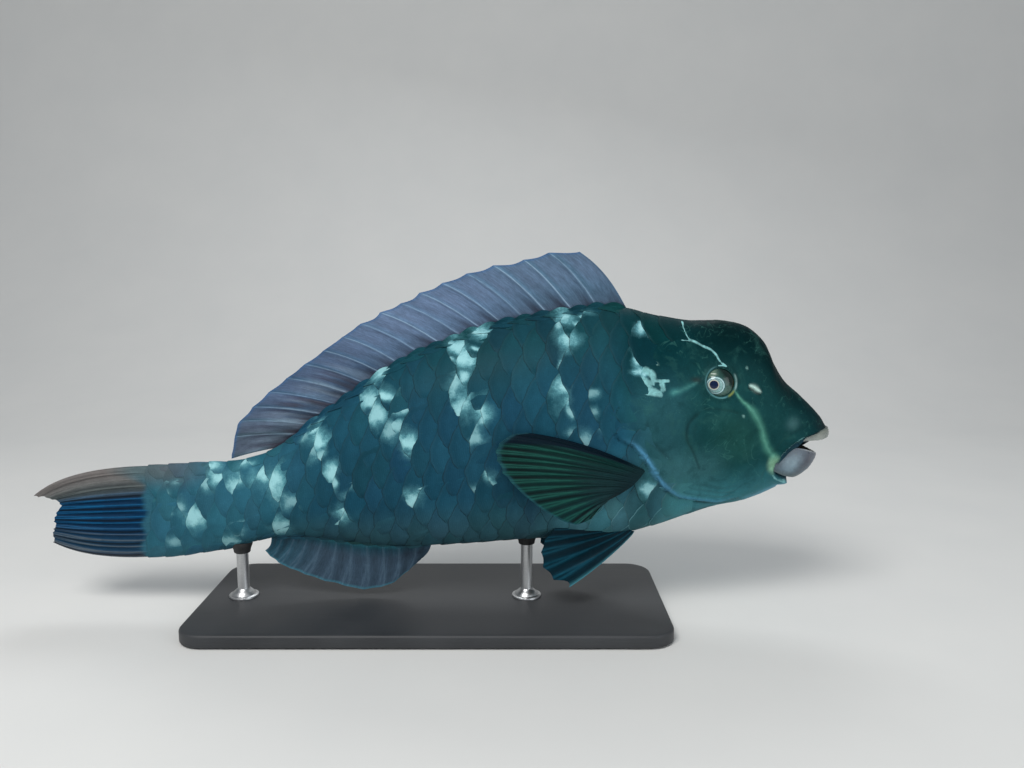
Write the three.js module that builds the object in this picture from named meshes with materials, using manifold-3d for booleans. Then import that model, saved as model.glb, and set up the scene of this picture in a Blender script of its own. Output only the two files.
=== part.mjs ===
// Life-size display model of a green humphead parrotfish, held over a flat base by two short rods.
// Millimetres, +Z up. The snout points to +X, Y = 0 is the plane of symmetry, the base stands on Z = 0.
import * as THREE from "three";
import { ParametricGeometry } from "three/addons/geometries/ParametricGeometry.js";
import { mergeVertices } from "three/addons/utils/BufferGeometryUtils.js";
import Module from "manifold-3d";

// ---------------------------------------------------------------- driving dimensions
const GAP = 0.3; // clearance between pieces that touch
const RING_SEGMENTS = 28; // facets round the body
const STATION_STEPS = 2; // rings per row of the body table

// Body outline, tail end to snout: [x, z] of the back, [x, z] of the belly, half width.
const BODY = [
  [-285.8, 151.6, -291.3, 55.9, 6.5],
  [-255.3, 153.2, -264.5, 56.9, 11.5],
  [-222.8, 155.2, -232.4, 61.7, 15.5],
  [-194.4, 156.8, -202.4, 66.5, 19],
  [-161.6, 167.1, -175.3, 75, 23.5],
  [-129.5, 189.2, -146.5, 78.7, 28],
  [-96.7, 212.7, -113.7, 77.7, 33],
  [-60, 238, -80, 72.9, 39],
  [-20.6, 261.2, -42.1, 69.7, 45],
  [19.4, 278.1, -1.1, 70.2, 51],
  [61.2, 293, 43.1, 73.4, 55.5],
  [103.8, 301.5, 89.2, 77.2, 58.5],
  [148.2, 308.9, 135.3, 79.3, 60],
  [187.7, 311.3, 179.3, 81.4, 59.5],
  [222.5, 303.4, 214, 89.3, 57],
  [257.3, 299, 250.5, 100.4, 53],
  [287, 299, 284.9, 110.9, 48.5],
  [311.9, 293.5, 314.3, 117.2, 43.5],
  [329.3, 279.1, 337.3, 126.6, 38.5],
  [339.1, 259.1, 352.3, 133.9, 34],
  [351.9, 239, 363.3, 137.1, 29.5],
  [367.5, 224.9, 373.4, 140.2, 25.5],
  [381.2, 211.7, 384.2, 146.9, 20.5],
  [391.7, 200.5, 391.8, 156.8, 15],
  [397.6, 193.3, 397.2, 171.8, 9],
  [400.4, 188.2, 400.2, 182, 3],
];
const SNOUT_TIP = [401, 185];
const HEAD_FROM = 13; // row of the table where the head begins

// Cuts between head and trunk (the gill opening) and between trunk and tail stalk.
const GILL_LINE = [
  [199, 345],
  [195, 312],
  [188, 275],
  [182, 219],
  [184, 190],
  [199, 178],
  [210, 163],
  [222, 143],
  [241, 131],
  [262, 117],
  [276, 100],
  [290, 70],
];
const STALK_LINE = [
  [-160, 190],
  [-166, 130],
  [-173, 50],
];

// Mouth: edge of the upper lip, edge of the lower lip, and the two fused beak plates.
const UPPER_LIP = [
  [345, 161],
  [354, 172],
  [362, 179],
  [371, 184.3],
  [392, 191],
  [412, 193],
];
const LOWER_LIP = [
  [412, 130],
  [380, 133],
  [368, 142],
  [353, 143],
  [341, 147],
  [338.5, 153],
];
const BEAK_TOP = [
  [364, 179.4],
  [371, 183.6],
  [392, 190.4],
  [404, 192],
  [404, 183],
  [394, 180],
  [379, 178.5],
];
const BEAK_LOW = [
  [342, 152],
  [346, 158.6],
  [354, 167.6],
  [368, 170.6],
  [380, 167.4],
  [391, 163],
  [402, 162],
  [402, 134],
  [381, 134],
  [368.5, 142.6],
  [353.2, 143.6],
  [342.5, 147.4],
];
const BEAK_NARROWER = 0.92; // the plates lie inside the lips

// Eye: a flattened ball, sunk in its orbit.
const EYE = { x: 279.5, z: 242.5, radius: 14.8, depth: 9.5, sunk: 5.5 };

// Dorsal fin: tips of its spines and rays, front to rear.
const DORSAL = {
  from: 13.15,
  to: 4.72,
  tips: [
    [147, 366],
    [89, 359],
    [34, 344],
    [-11, 326],
    [-53, 305],
    [-92, 280],
    [-129, 252],
    [-167, 228],
    [-196, 196],
    [-204, 162],
  ],
  root: 3.2,
  edge: 0.5,
  sunk: 5,
  bow: 5, // the front edge bulges forward
  steps: 27,
};
const ANAL = {
  from: 9,
  to: 4.35,
  tips: [
    [-14, 53],
    [-38, 30],
    [-66, 21],
    [-102, 27],
    [-138, 39],
    [-161, 50],
    [-173, 62],
  ],
  root: 3,
  edge: 0.5,
  sunk: 5,
  bow: 0,
  steps: 18,
};
// Tail fin, nearly closed: root, control point and end of each ray, from the upper edge to the lower.
const TAIL = {
  rootTop: [-286.3, 151.4],
  rootLow: [-291.8, 56.1],
  bend: [
    [-372, 151],
    [-345, 124],
    [-345, 100],
    [-347, 76],
    [-355, 52],
  ],
  ends: [
    [-407, 119],
    [-393, 116],
    [-381, 111],
    [-385, 100],
    [-387, 90],
    [-389, 80],
    [-391, 71],
  ],
  root: 6.2,
  edge: 0.55,
};
// Pectoral fin, laid back along the flank: rays run from the fleshy root to the rim.
const PECTORAL = {
  root: [
    [206, -57, 161],
    [194, -57, 148],
    [170, -56, 133],
  ],
  rim: [
    [92, -67, 199],
    [74, -70, 195],
    [65.5, -72.5, 182],
    [67, -74, 169],
    [79, -75.5, 154],
    [95, -76, 138],
    [118, -74, 121],
    [140, -70, 111],
    [156, -66, 115],
  ],
  bow: 6, // the leading edge arches upward
  rootHalf: 2.2,
  edge: 0.45,
};
const PELVIC = {
  root: [
    [203, -20, 88],
    [194, -20, 91],
    [184, -22, 93],
  ],
  rim: [
    [136, -37, 36],
    [122, -38, 45],
    [111, -38.5, 58],
    [109, -38, 73],
    [113, -37, 86],
    [123, -35, 97],
  ],
  bow: -3,
  rootHalf: 2.2,
  edge: 0.45,
};

// Display stand.
const STAND = {
  length: 470,
  width: 200,
  thick: 14,
  corner: 26,
  bevel: 1.5,
  rodRadius: 6,
  collarRadius: 15,
  collarHigh: 7,
  frontX: 96,
  rearX: -196,
};

// ---------------------------------------------------------------- helpers
const wasm = await Module();
wasm.setup();

const clamp = (v, lo, hi) => Math.min(hi, Math.max(lo, v));
const mix = (a, b, t) => a + (b - a) * t;
const smooth = (a, b, v) => {
  const t = clamp((v - a) / (b - a), 0, 1);
  return t * t * (3 - 2 * t);
};

// A point on the uniform Catmull-Rom curve through rows of numbers, at parameter p in [0, rows - 1].
function along(rows, p) {
  const last = rows.length - 1;
  const i = clamp(Math.floor(p), 0, last - 1);
  const t = clamp(p - i, 0, 1);
  const [a, b, c, d] = [i - 1, i, i + 1, i + 2].map(
    (k) => rows[clamp(k, 0, last)],
  );
  return b.map(
    (_, k) =>
      0.5 *
      (2 * b[k] +
        (c[k] - a[k]) * t +
        (2 * a[k] - 5 * b[k] + 4 * c[k] - d[k]) * t * t +
        (3 * b[k] - a[k] - 3 * c[k] + d[k]) * t * t * t),
  );
}
const share = (rows, s) => along(rows, s * (rows.length - 1));

// A closed grid surface as a solid: fn(i, j) gives the point of column i (round) and row j (along).
function closedGrid(fn, columns, rows) {
  const surface = new ParametricGeometry(
    (u, v, target) => {
      const i = Math.round(u * columns) % columns;
      const j = Math.round(v * rows);
      target.set(...fn(i, j));
    },
    columns,
    rows,
  );
  return solid(surface);
}

function solid(geometry) {
  const bare = new THREE.BufferGeometry().setAttribute(
    "position",
    geometry.getAttribute("position"),
  );
  if (geometry.index) bare.setIndex(geometry.index);
  const merged = mergeVertices(bare, 1e-3);
  const corners = [];
  const index = merged.index.array;
  for (let k = 0; k < index.length; k += 3) {
    const [a, b, c] = [index[k], index[k + 1], index[k + 2]];
    if (a !== b && b !== c && c !== a) corners.push(a, b, c);
  }
  const build = (list) =>
    new wasm.Manifold(
      new wasm.Mesh({
        numProp: 3,
        vertProperties: new Float32Array(merged.attributes.position.array),
        triVerts: new Uint32Array(list),
      }),
    );
  const made = build(corners);
  if (made.volume() > 0) return made;
  for (let k = 0; k < corners.length; k += 3)
    [corners[k + 1], corners[k + 2]] = [corners[k + 2], corners[k + 1]];
  return build(corners);
}

// A prism across the fish, from its outline in the XZ plane.
function across(outline, halfWidth = 120) {
  const shape = new THREE.Shape(outline.map(([x, z]) => new THREE.Vector2(x, z)));
  const prism = new THREE.ExtrudeGeometry(shape, {
    depth: 2 * halfWidth,
    bevelEnabled: false,
  });
  prism.rotateX(Math.PI / 2);
  prism.translate(0, halfWidth, 0);
  return solid(prism);
}

const curve = (points, steps) =>
  Array.from({ length: steps + 1 }, (_, k) => share(points, k / steps));

// ---------------------------------------------------------------- body
const LAST = BODY.length - 1;

// Where the section is widest, as a share of its height, and how full it is above and below.
const widest = (p) => mix(0.5, 0.47, smooth(12, 17, p)) + 0.03 * smooth(3, 9, p) * (1 - smooth(11, 14, p));
const fullAbove = (p) => mix(2, 1.78, smooth(2, 7, p)) + 0.3 * smooth(14, 19, p);
const fullBelow = (p) => mix(2, 2.12, smooth(3, 9, p)) + 0.12 * smooth(14, 19, p);

function bodyPoint(p, angle, grow = 0, narrow = 1) {
  const [xt, zt, xb, zb, w] = along(BODY, p);
  const height = Math.hypot(xt - xb, zt - zb);
  const ux = (xt - xb) / height;
  const uz = (zt - zb) / height;
  const at = widest(p) * height;
  const c = Math.cos(angle);
  const s = Math.sin(angle);
  const n = s >= 0 ? fullAbove(p) : fullBelow(p);
  const rise = Math.sign(s) * Math.abs(s) ** (2 / n);
  const reach = s >= 0 ? height - at + grow : at + grow;
  const side = Math.sign(c) * Math.abs(c) ** (2 / n) * (w + grow) * narrow;
  return [xb + ux * (at + rise * reach), side, zb + uz * (at + rise * reach)];
}

// Angles are packed a little closer near the back and the belly, where the section turns faster.
const ringAngle = (i) => (2 * Math.PI * (i + 0.5)) / RING_SEGMENTS;

function bodySolid(grow = 0, narrow = 1) {
  const rings = LAST * STATION_STEPS;
  return closedGrid(
    (i, j) => {
      if (j === 0) {
        const [xt, zt, xb, zb] = BODY[0];
        return [(xt + xb) / 2 - grow, 0, (zt + zb) / 2];
      }
      if (j === rings + 2) return [SNOUT_TIP[0] + grow, 0, SNOUT_TIP[1]];
      const [x, y, z] = bodyPoint((j - 1) / STATION_STEPS, ringAngle(i), grow, narrow);
      return [j === 1 ? x - grow : x, y, z];
    },
    RING_SEGMENTS,
    rings + 2,
  );
}

// Half width of the body where the horizontal line across at (x, z) leaves it.
function flank(x, z) {
  let lo = 0;
  let hi = LAST;
  for (let k = 0; k < 40; k++) {
    const p = (lo + hi) / 2;
    const [xt, zt, xb, zb] = along(BODY, p);
    if (xb + ((xt - xb) * (z - zb)) / (zt - zb) < x) lo = p;
    else hi = p;
  }
  const [, zt, , zb, w] = along(BODY, lo);
  const h = (z - zb) / (zt - zb) - widest(lo);
  const t = h >= 0 ? h / (1 - widest(lo)) : -h / widest(lo);
  const n = h >= 0 ? fullAbove(lo) : fullBelow(lo);
  return w * Math.max(0, 1 - Math.min(1, t) ** n) ** (1 / n);
}

const whole = bodySolid();
const clear = bodySolid(GAP);

const shift = (points, dx, dz) => points.map(([x, z]) => [x + dx, z + dz]);
const headPrism = across([...GILL_LINE, [430, 70], [430, 345]]);
const trunkPrism = across([
  ...shift(GILL_LINE, -0.35, -0.2),
  ...shift([...STALK_LINE].reverse(), 0.17, 0),
  [-160, 345],
]);
const stalkPrism = across([...shift(STALK_LINE, -0.17, 0), [-320, 50], [-320, 190]]);
const mouth = across([...curve(UPPER_LIP, 10), ...LOWER_LIP]);

// ---------------------------------------------------------------- eyes
function eyeball(grow) {
  const ball = new THREE.SphereGeometry(1, 18, 10);
  ball.rotateX(Math.PI / 2);
  ball.scale(EYE.radius + grow, EYE.depth + grow, EYE.radius + grow);
  ball.rotateZ(0.16); // looks a little forward, along the narrowing head
  ball.translate(EYE.x, -(flank(EYE.x, EYE.z) - EYE.sunk), EYE.z);
  return solid(ball);
}
const mirrored = (body) => body.mirror([0, 1, 0]);
const eyeRight = eyeball(0);
const socketRight = eyeball(GAP);

// ---------------------------------------------------------------- fins
// A thin fan: mid(s, t) is its middle surface, half(s, t) its half thickness along the unit vector out.
function fan(mid, half, out, alongSteps, outSteps) {
  const columns = 2 * (outSteps + 1);
  return closedGrid(
    (i, j) => {
      const side = i <= outSteps ? 1 : -1;
      const k = i <= outSteps ? i : columns - 1 - i;
      const s = clamp((j - 1) / alongSteps, 0, 1);
      const t = k / outSteps;
      const thick = j === 0 || j === alongSteps + 2 ? 0 : half(s, t) * side;
      const [x, y, z] = mid(s, t);
      return [x + out[0] * thick, y + out[1] * thick, z + out[2] * thick];
    },
    columns,
    alongSteps + 2,
  );
}
const taper = (fin) => (s, t) => mix(fin.root, fin.edge, Math.min(1, 1.25 * t) ** 0.6);

function medianFin(fin, top) {
  const mid = (s, t) => {
    const p = mix(fin.from, fin.to, s);
    const [xt, zt, xb, zb] = along(BODY, p);
    const root = top ? [xt, zt - fin.sunk] : [xb, zb + fin.sunk];
    const tip = share(fin.tips, s);
    const bulge = fin.bow * 4 * t * (1 - t) * (1 - smooth(0, 0.12, s));
    return [mix(root[0], tip[0], t) + bulge, 0, mix(root[1], tip[1], t) + bulge / 2];
  };
  return fan(mid, taper(fin), [0, 1, 0], fin.steps, 4).subtract(clear);
}

function tailMid(s, t) {
  const root = [
    mix(TAIL.rootTop[0], TAIL.rootLow[0], s),
    mix(TAIL.rootTop[1], TAIL.rootLow[1], s),
  ];
  const bend = share(TAIL.bend, s);
  const end = share(TAIL.ends, s);
  const q = 1 - t;
  return [
    q * q * root[0] + 2 * q * t * bend[0] + t * t * end[0],
    0,
    q * q * root[1] + 2 * q * t * bend[1] + t * t * end[1],
  ];
}
// At its root the tail fin has the lens section of the stalk's end.
const tailHalf = (s, t) =>
  mix(
    TAIL.root * Math.sqrt(Math.max(0.02, 1 - (2 * s - 1) ** 2)),
    TAIL.edge,
    Math.min(1, 1.15 * t) ** 0.55,
  );

function pairedFin(fin, alongSteps, outSteps) {
  const mid = (s, t) => {
    const root = share(fin.root, s);
    const rim = share(fin.rim, s);
    const lift = fin.bow * 4 * t * (1 - t) * (1 - s) ** 1.5;
    return [
      mix(root[0], rim[0], t),
      mix(root[1], rim[1], t ** 0.8),
      mix(root[2], rim[2], t) + lift,
    ];
  };
  const half = (s, t) => mix(fin.rootHalf, fin.edge, Math.min(1, 1.4 * t) ** 0.5);
  return fan(mid, half, [0, 1, 0], alongSteps, outSteps).subtract(clear);
}
const largest = (body) =>
  body.decompose().reduce((a, b) => (b.volume() > a.volume() ? b : a));

// ---------------------------------------------------------------- stand
function plate() {
  const { length: l, width: w, corner: r, bevel, thick } = STAND;
  const x = l / 2 - bevel;
  const y = w / 2 - bevel;
  const outline = new THREE.Shape();
  outline.moveTo(-x + r, -y);
  outline.lineTo(x - r, -y);
  outline.absarc(x - r, -y + r, r, -Math.PI / 2, 0);
  outline.lineTo(x, y - r);
  outline.absarc(x - r, y - r, r, 0, Math.PI / 2);
  outline.lineTo(-x + r, y);
  outline.absarc(-x + r, y - r, r, Math.PI / 2, Math.PI);
  outline.lineTo(-x, -y + r);
  outline.absarc(-x + r, -y + r, r, Math.PI, 1.5 * Math.PI);
  const made = new THREE.ExtrudeGeometry(outline, {
    depth: thick - 2 * bevel,
    bevelThickness: bevel,
    bevelSize: bevel,
    bevelSegments: 1,
    curveSegments: 5,
  });
  made.translate(0, 0, bevel);
  return solid(made);
}
function rod(x) {
  const { rodRadius: r, collarRadius: c, collarHigh: h, thick } = STAND;
  const z = thick + GAP;
  const profile = [
    [0, z],
    [c, z],
    [c, z + 1.5],
    [c - 3, z + 3],
    [r + 1.2, z + h],
    [r, z + h + 1.5],
    [r, 100],
    [0, 100],
  ].map(([a, b]) => new THREE.Vector2(a, b));
  const made = new THREE.LatheGeometry(profile, 16);
  made.rotateX(Math.PI / 2);
  made.translate(x, 0, 0);
  return solid(made).subtract(clear);
}

// ---------------------------------------------------------------- the assembled group
const group = new THREE.Group();
group.position.x = 3; // the origin lies under the middle of the overall box

function put(name, body, color, roughness, metalness = 0) {
  const mesh = body.getMesh();
  const step = mesh.numProp;
  const points = new Float32Array(mesh.numVert * 3);
  for (let k = 0; k < mesh.numVert; k++)
    points.set(mesh.vertProperties.subarray(k * step, k * step + 3), k * 3);
  const geometry = new THREE.BufferGeometry()
    .setAttribute("position", new THREE.BufferAttribute(points, 3))
    .setIndex(new THREE.BufferAttribute(mesh.triVerts, 1));
  geometry.computeVertexNormals();
  const piece = new THREE.Mesh(
    geometry,
    new THREE.MeshStandardMaterial({ color, roughness, metalness, flatShading: true }),
  );
  piece.name = name;
  group.add(piece);
}

const head = whole
  .intersect(headPrism)
  .subtract(mouth)
  .subtract(socketRight)
  .subtract(mirrored(socketRight));
put("head", largest(head), 0x235256, 0.4);
put("trunk", whole.intersect(trunkPrism), 0x3f6f78, 0.42);
put("tail_stalk", whole.intersect(stalkPrism), 0x4b7a80, 0.42);

put("eye_right", eyeRight, 0xd8d4bd, 0.15);
put("eye_left", mirrored(eyeRight), 0xd8d4bd, 0.15);

const plates = bodySolid(0, BEAK_NARROWER);
put("beak_upper", largest(plates.intersect(across(BEAK_TOP))), 0xd9cfc0, 0.35);
put("beak_lower", largest(plates.intersect(across(BEAK_LOW))), 0xd8cdd0, 0.35);

put("dorsal_fin", largest(medianFin(DORSAL, true)), 0x8188a3, 0.5);
put("anal_fin", largest(medianFin(ANAL, false)), 0x6f7d8c, 0.5);
put("tail_fin", fan(tailMid, tailHalf, [0, 1, 0], 18, 6), 0x4f7289, 0.5);

const pectoral = largest(pairedFin(PECTORAL, 15, 5));
put("pectoral_fin_right", pectoral, 0x2a5c55, 0.45);
put("pectoral_fin_left", mirrored(pectoral), 0x2a5c55, 0.45);
const pelvic = largest(pairedFin(PELVIC, 10, 5));
put("pelvic_fin_right", pelvic, 0x1f6f8c, 0.45);
put("pelvic_fin_left", mirrored(pelvic), 0x1f6f8c, 0.45);

put("stand_base", plate(), 0x2b2d2f, 0.6);
put("stand_rod_front", rod(STAND.frontX), 0xb9bcbd, 0.3, 1);
put("stand_rod_rear", rod(STAND.rearX), 0xb9bcbd, 0.3, 1);

export default group;
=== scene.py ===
import math

import bpy
import numpy as np
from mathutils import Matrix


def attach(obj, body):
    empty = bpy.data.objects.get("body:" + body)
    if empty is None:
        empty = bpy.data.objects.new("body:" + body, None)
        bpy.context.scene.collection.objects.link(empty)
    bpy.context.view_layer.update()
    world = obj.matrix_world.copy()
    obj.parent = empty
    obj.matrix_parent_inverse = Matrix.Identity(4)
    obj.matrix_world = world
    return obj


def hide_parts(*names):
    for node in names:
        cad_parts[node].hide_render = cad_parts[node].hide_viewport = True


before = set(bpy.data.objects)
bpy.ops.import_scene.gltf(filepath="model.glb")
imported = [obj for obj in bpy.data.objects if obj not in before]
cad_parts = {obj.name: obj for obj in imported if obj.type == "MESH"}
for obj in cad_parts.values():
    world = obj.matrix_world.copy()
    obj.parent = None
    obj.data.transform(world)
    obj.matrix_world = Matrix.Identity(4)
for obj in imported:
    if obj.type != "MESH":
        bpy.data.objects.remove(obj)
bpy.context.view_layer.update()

SHIFT = 3.0  # mm, from the table frame to the row frame
PI = math.pi

# ------------------------------------------------------------------------------ numbers and curves


def smooth(a, b, v):
    t = np.clip((np.asarray(v, float) - a) / (b - a), 0, 1)
    return t * t * (3 - 2 * t)


def mix(a, b, t):
    return a + (b - a) * t


def along(rows, p):
    """Uniform Catmull-Rom through rows, at parameter p in [0, rows - 1]."""
    rows = np.asarray(rows, float)
    p = np.asarray(p, float)
    last = len(rows) - 1
    i = np.clip(np.floor(p).astype(int), 0, last - 1)
    t = np.clip(p - i, 0, 1)[..., None]
    a, b, c, d = [rows[np.clip(i + k, 0, last)] for k in (-1, 0, 1, 2)]
    return 0.5 * (
        2 * b + (c - a) * t + (2 * a - 5 * b + 4 * c - d) * t * t + (3 * b - a - 3 * c + d) * t**3
    )


def share(rows, s):
    return along(rows, np.asarray(s, float) * (len(rows) - 1))


def curve(points, step=1.0):
    """A polyline sampled finely along the Catmull-Rom curve through points."""
    pts = np.asarray(points, float)
    fine = along(pts, np.linspace(0, len(pts) - 1, 24 * (len(pts) - 1) + 1))
    s = np.concatenate([[0], np.cumsum(np.linalg.norm(np.diff(fine[:, :2], axis=0), axis=1))])
    n = max(2, int(s[-1] / step) + 1)
    want = np.linspace(0, s[-1], n)
    return np.stack([np.interp(want, s, fine[:, k]) for k in range(fine.shape[1])], -1)


def to_line(x, z, line):
    """Distance from (x, z) to a polyline, sign by side (left of its direction is positive), the share
    along it, the closest point and, if given, the width there."""
    x = np.asarray(x, float).ravel()
    z = np.asarray(z, float).ravel()
    best = np.full(x.shape, 1e9)
    sign = np.ones_like(x)
    where = np.zeros_like(x)
    near = np.zeros((len(x), 2))
    wide = np.zeros_like(x)
    n = len(line) - 1
    for k in range(n):
        a, b = line[k], line[k + 1]
        ex, ez = b[0] - a[0], b[1] - a[1]
        q = max(ex * ex + ez * ez, 1e-12)
        t = np.clip(((x - a[0]) * ex + (z - a[1]) * ez) / q, 0, 1)
        qx, qz = a[0] + t * ex, a[1] + t * ez
        d = np.hypot(x - qx, z - qz)
        m = d < best
        best = np.where(m, d, best)
        sign = np.where(m, np.sign(ex * (z - a[1]) - ez * (x - a[0])), sign)
        where = np.where(m, (k + t) / n, where)
        near[m, 0], near[m, 1] = qx[m], qz[m]
        if len(a) > 2:
            wide = np.where(m, a[2] + t * (b[2] - a[2]), wide)
    sign = np.where(sign == 0, 1, sign)
    return best * sign, where, near, wide


def inside(x, z, poly):
    """Even-odd test of points against a closed polygon."""
    x = np.asarray(x, float).ravel()
    z = np.asarray(z, float).ravel()
    hit = np.zeros(x.shape, bool)
    n = len(poly)
    for k in range(n):
        (x0, z0), (x1, z1) = poly[k][:2], poly[(k + 1) % n][:2]
        if z0 == z1:
            continue
        cross = (z0 > z) != (z1 > z)
        hit ^= cross & (x < (x1 - x0) * (z - z0) / (z1 - z0) + x0)
    return hit


def lattice(ix, iy, iz, seed):
    h = (ix * 374761393 + iy * 668265263 + iz * 2147483647 + seed * 1274126177) & 0xFFFFFFFF
    h = ((h ^ (h >> 13)) * 1274126177) & 0xFFFFFFFF
    return ((h ^ (h >> 16)) & 0xFFFF) / 65535.0


def noise(p, size, seed=0):
    """Smooth value noise in [-1, 1] of points p (mm), with cells of that size."""
    q = np.asarray(p, float) / size
    i = np.floor(q).astype(np.int64)
    f = q - i
    f = f * f * (3 - 2 * f)
    out = 0
    for dx in (0, 1):
        for dy in (0, 1):
            for dz in (0, 1):
                w = (
                    (f[..., 0] if dx else 1 - f[..., 0])
                    * (f[..., 1] if dy else 1 - f[..., 1])
                    * (f[..., 2] if dz else 1 - f[..., 2])
                )
                out = out + w * lattice(i[..., 0] + dx, i[..., 1] + dy, i[..., 2] + dz, seed)
    return out * 2 - 1


def srgb(r, g, b):
    """Linear colour of an 8-bit screen colour."""
    c = np.array([r, g, b], float) / 255
    return np.where(c <= 0.04045, c / 12.92, ((c + 0.055) / 1.055) ** 2.4)


# ------------------------------------------------------------------------------ body surface

BODY = np.array(
    [
        [-285.8, 151.6, -291.3, 55.9, 6.5],
        [-255.3, 153.2, -264.5, 56.9, 11.5],
        [-222.8, 155.2, -232.4, 61.7, 15.5],
        [-194.4, 156.8, -202.4, 66.5, 19],
        [-161.6, 167.1, -175.3, 75, 23.5],
        [-129.5, 189.2, -146.5, 78.7, 28],
        [-96.7, 212.7, -113.7, 77.7, 33],
        [-60, 238, -80, 72.9, 39],
        [-20.6, 261.2, -42.1, 69.7, 45],
        [19.4, 278.1, -1.1, 70.2, 51],
        [61.2, 293, 43.1, 73.4, 55.5],
        [103.8, 301.5, 89.2, 77.2, 58.5],
        [148.2, 308.9, 135.3, 79.3, 60],
        [187.7, 311.3, 179.3, 81.4, 59.5],
        [222.5, 303.4, 214, 89.3, 57],
        [257.3, 299, 250.5, 100.4, 53],
        [287, 299, 284.9, 110.9, 48.5],
        [311.9, 293.5, 314.3, 117.2, 43.5],
        [329.3, 279.1, 337.3, 126.6, 38.5],
        [339.1, 259.1, 352.3, 133.9, 34],
        [351.9, 239, 363.3, 137.1, 29.5],
        [367.5, 224.9, 373.4, 140.2, 25.5],
        [381.2, 211.7, 384.2, 146.9, 20.5],
        [391.7, 200.5, 391.8, 156.8, 15],
        [397.6, 193.3, 397.2, 171.8, 9],
        [400.4, 188.2, 400.2, 182, 3],
    ]
)
LAST = len(BODY) - 1
SNOUT_TIP = np.array([401.0, 0.0, 185.0])


def widest(p):
    return mix(0.5, 0.47, smooth(12, 17, p)) + 0.03 * smooth(3, 9, p) * (1 - smooth(11, 14, p))


def full_above(p):
    return mix(2, 1.78, smooth(2, 7, p)) + 0.3 * smooth(14, 19, p)


def full_below(p):
    return mix(2, 2.12, smooth(3, 9, p)) + 0.12 * smooth(14, 19, p)


def body_point(p, angle, narrow=1.0):
    """A point of the body: angle runs from -90 degrees at the belly to 90 degrees at the back; the
    result's middle number is the distance from the plane of symmetry."""
    p = np.asarray(p, float)
    xt, zt, xb, zb, w = np.moveaxis(along(BODY, p), -1, 0)
    height = np.hypot(xt - xb, zt - zb)
    ux, uz = (xt - xb) / height, (zt - zb) / height
    at = widest(p) * height
    c, s = np.cos(angle), np.sin(angle)
    n = np.where(s >= 0, full_above(p), full_below(p))
    rise = np.sign(s) * np.abs(s) ** (2 / n)
    reach = np.where(s >= 0, height - at, at)
    side = np.sign(c) * np.abs(c) ** (2 / n) * w * narrow
    return np.stack([xb + ux * (at + rise * reach), side, zb + uz * (at + rise * reach)], -1)


def station(x, z):
    x = np.asarray(x, float)
    z = np.asarray(z, float)
    lo, hi = np.zeros_like(x), np.full_like(x, LAST)
    for _ in range(32):
        p = (lo + hi) / 2
        xt, zt, xb, zb, _w = np.moveaxis(along(BODY, p), -1, 0)
        left = xb + (xt - xb) * (z - zb) / (zt - zb) < x
        lo, hi = np.where(left, p, lo), np.where(left, hi, p)
    return lo


def height_share(x, z):
    p = station(x, z)
    r = along(BODY, p)
    return p, (np.asarray(z, float) - r[..., 3]) / (r[..., 1] - r[..., 3])


def flank(x, z):
    """Half width of the body at (x, z)."""
    p, h = height_share(x, z)
    w = along(BODY, p)[..., 4]
    h = h - widest(p)
    t = np.where(h >= 0, h / (1 - widest(p)), -h / widest(p))
    n = np.where(h >= 0, full_above(p), full_below(p))
    return w * np.maximum(0, 1 - np.minimum(1, np.abs(t)) ** n) ** (1 / n)


# Skin coordinates: u runs along the middle line from the tail end, d round the body from that line,
# upwards. Both are lengths in mm. The table holds the surface on a 1 mm net.
ANGLES = np.linspace(-PI / 2, PI / 2, 541)
P_FINE = np.linspace(0, LAST, 2401)
_mid = body_point(P_FINE, np.zeros_like(P_FINE))
U_FINE = np.concatenate([[0], np.cumsum(np.hypot(np.diff(_mid[:, 0]), np.diff(_mid[:, 2])))])
U_END = float(U_FINE[-1])
NU, D_LO, D_HI = 711, -190, 180
D_AXIS = np.arange(D_LO, D_HI + 1, dtype=float)
U_AXIS = np.linspace(0, U_END, NU)
NET = np.zeros((NU, len(D_AXIS), 3))
D_BELLY, D_BACK = np.zeros(NU), np.zeros(NU)
for _k, _u in enumerate(U_AXIS):
    _q = body_point(np.full(ANGLES.shape, np.interp(_u, U_FINE, P_FINE)), ANGLES)
    _s = np.concatenate([[0], np.cumsum(np.linalg.norm(np.diff(_q, axis=0), axis=1))])
    _s -= _s[270]
    _lo, _hi = _s[0], _s[-1]
    D_BELLY[_k], D_BACK[_k] = _lo, _hi
    _d = np.where(D_AXIS > _hi, 2 * _hi - D_AXIS, np.where(D_AXIS < _lo, 2 * _lo - D_AXIS, D_AXIS))
    _flip = np.where((D_AXIS > _hi) | (D_AXIS < _lo), -1, 1)
    for _c in range(3):
        NET[_k, :, _c] = np.interp(_d, _s, _q[:, _c])
    NET[_k, :, 1] *= _flip
_du = np.gradient(NET, axis=0)
_dd = np.gradient(NET, axis=1)
NET_N = np.cross(_dd, _du)
NET_N /= np.maximum(np.linalg.norm(NET_N, axis=-1, keepdims=True), 1e-9)
if NET_N[350, 190, 1] < 0:
    NET_N = -NET_N


def on_net(table, u, d):
    fu = np.clip(u / U_END * (NU - 1), 0, NU - 1.001)
    fd = np.clip(d - D_LO, 0, len(D_AXIS) - 1.001)
    i, j = fu.astype(int), fd.astype(int)
    a, b = fu - i, fd - j
    if table.ndim == 3:
        a, b = a[..., None], b[..., None]
    return (
        table[i, j] * (1 - a) * (1 - b)
        + table[i + 1, j] * a * (1 - b)
        + table[i, j + 1] * (1 - a) * b
        + table[i + 1, j + 1] * a * b
    )


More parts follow.
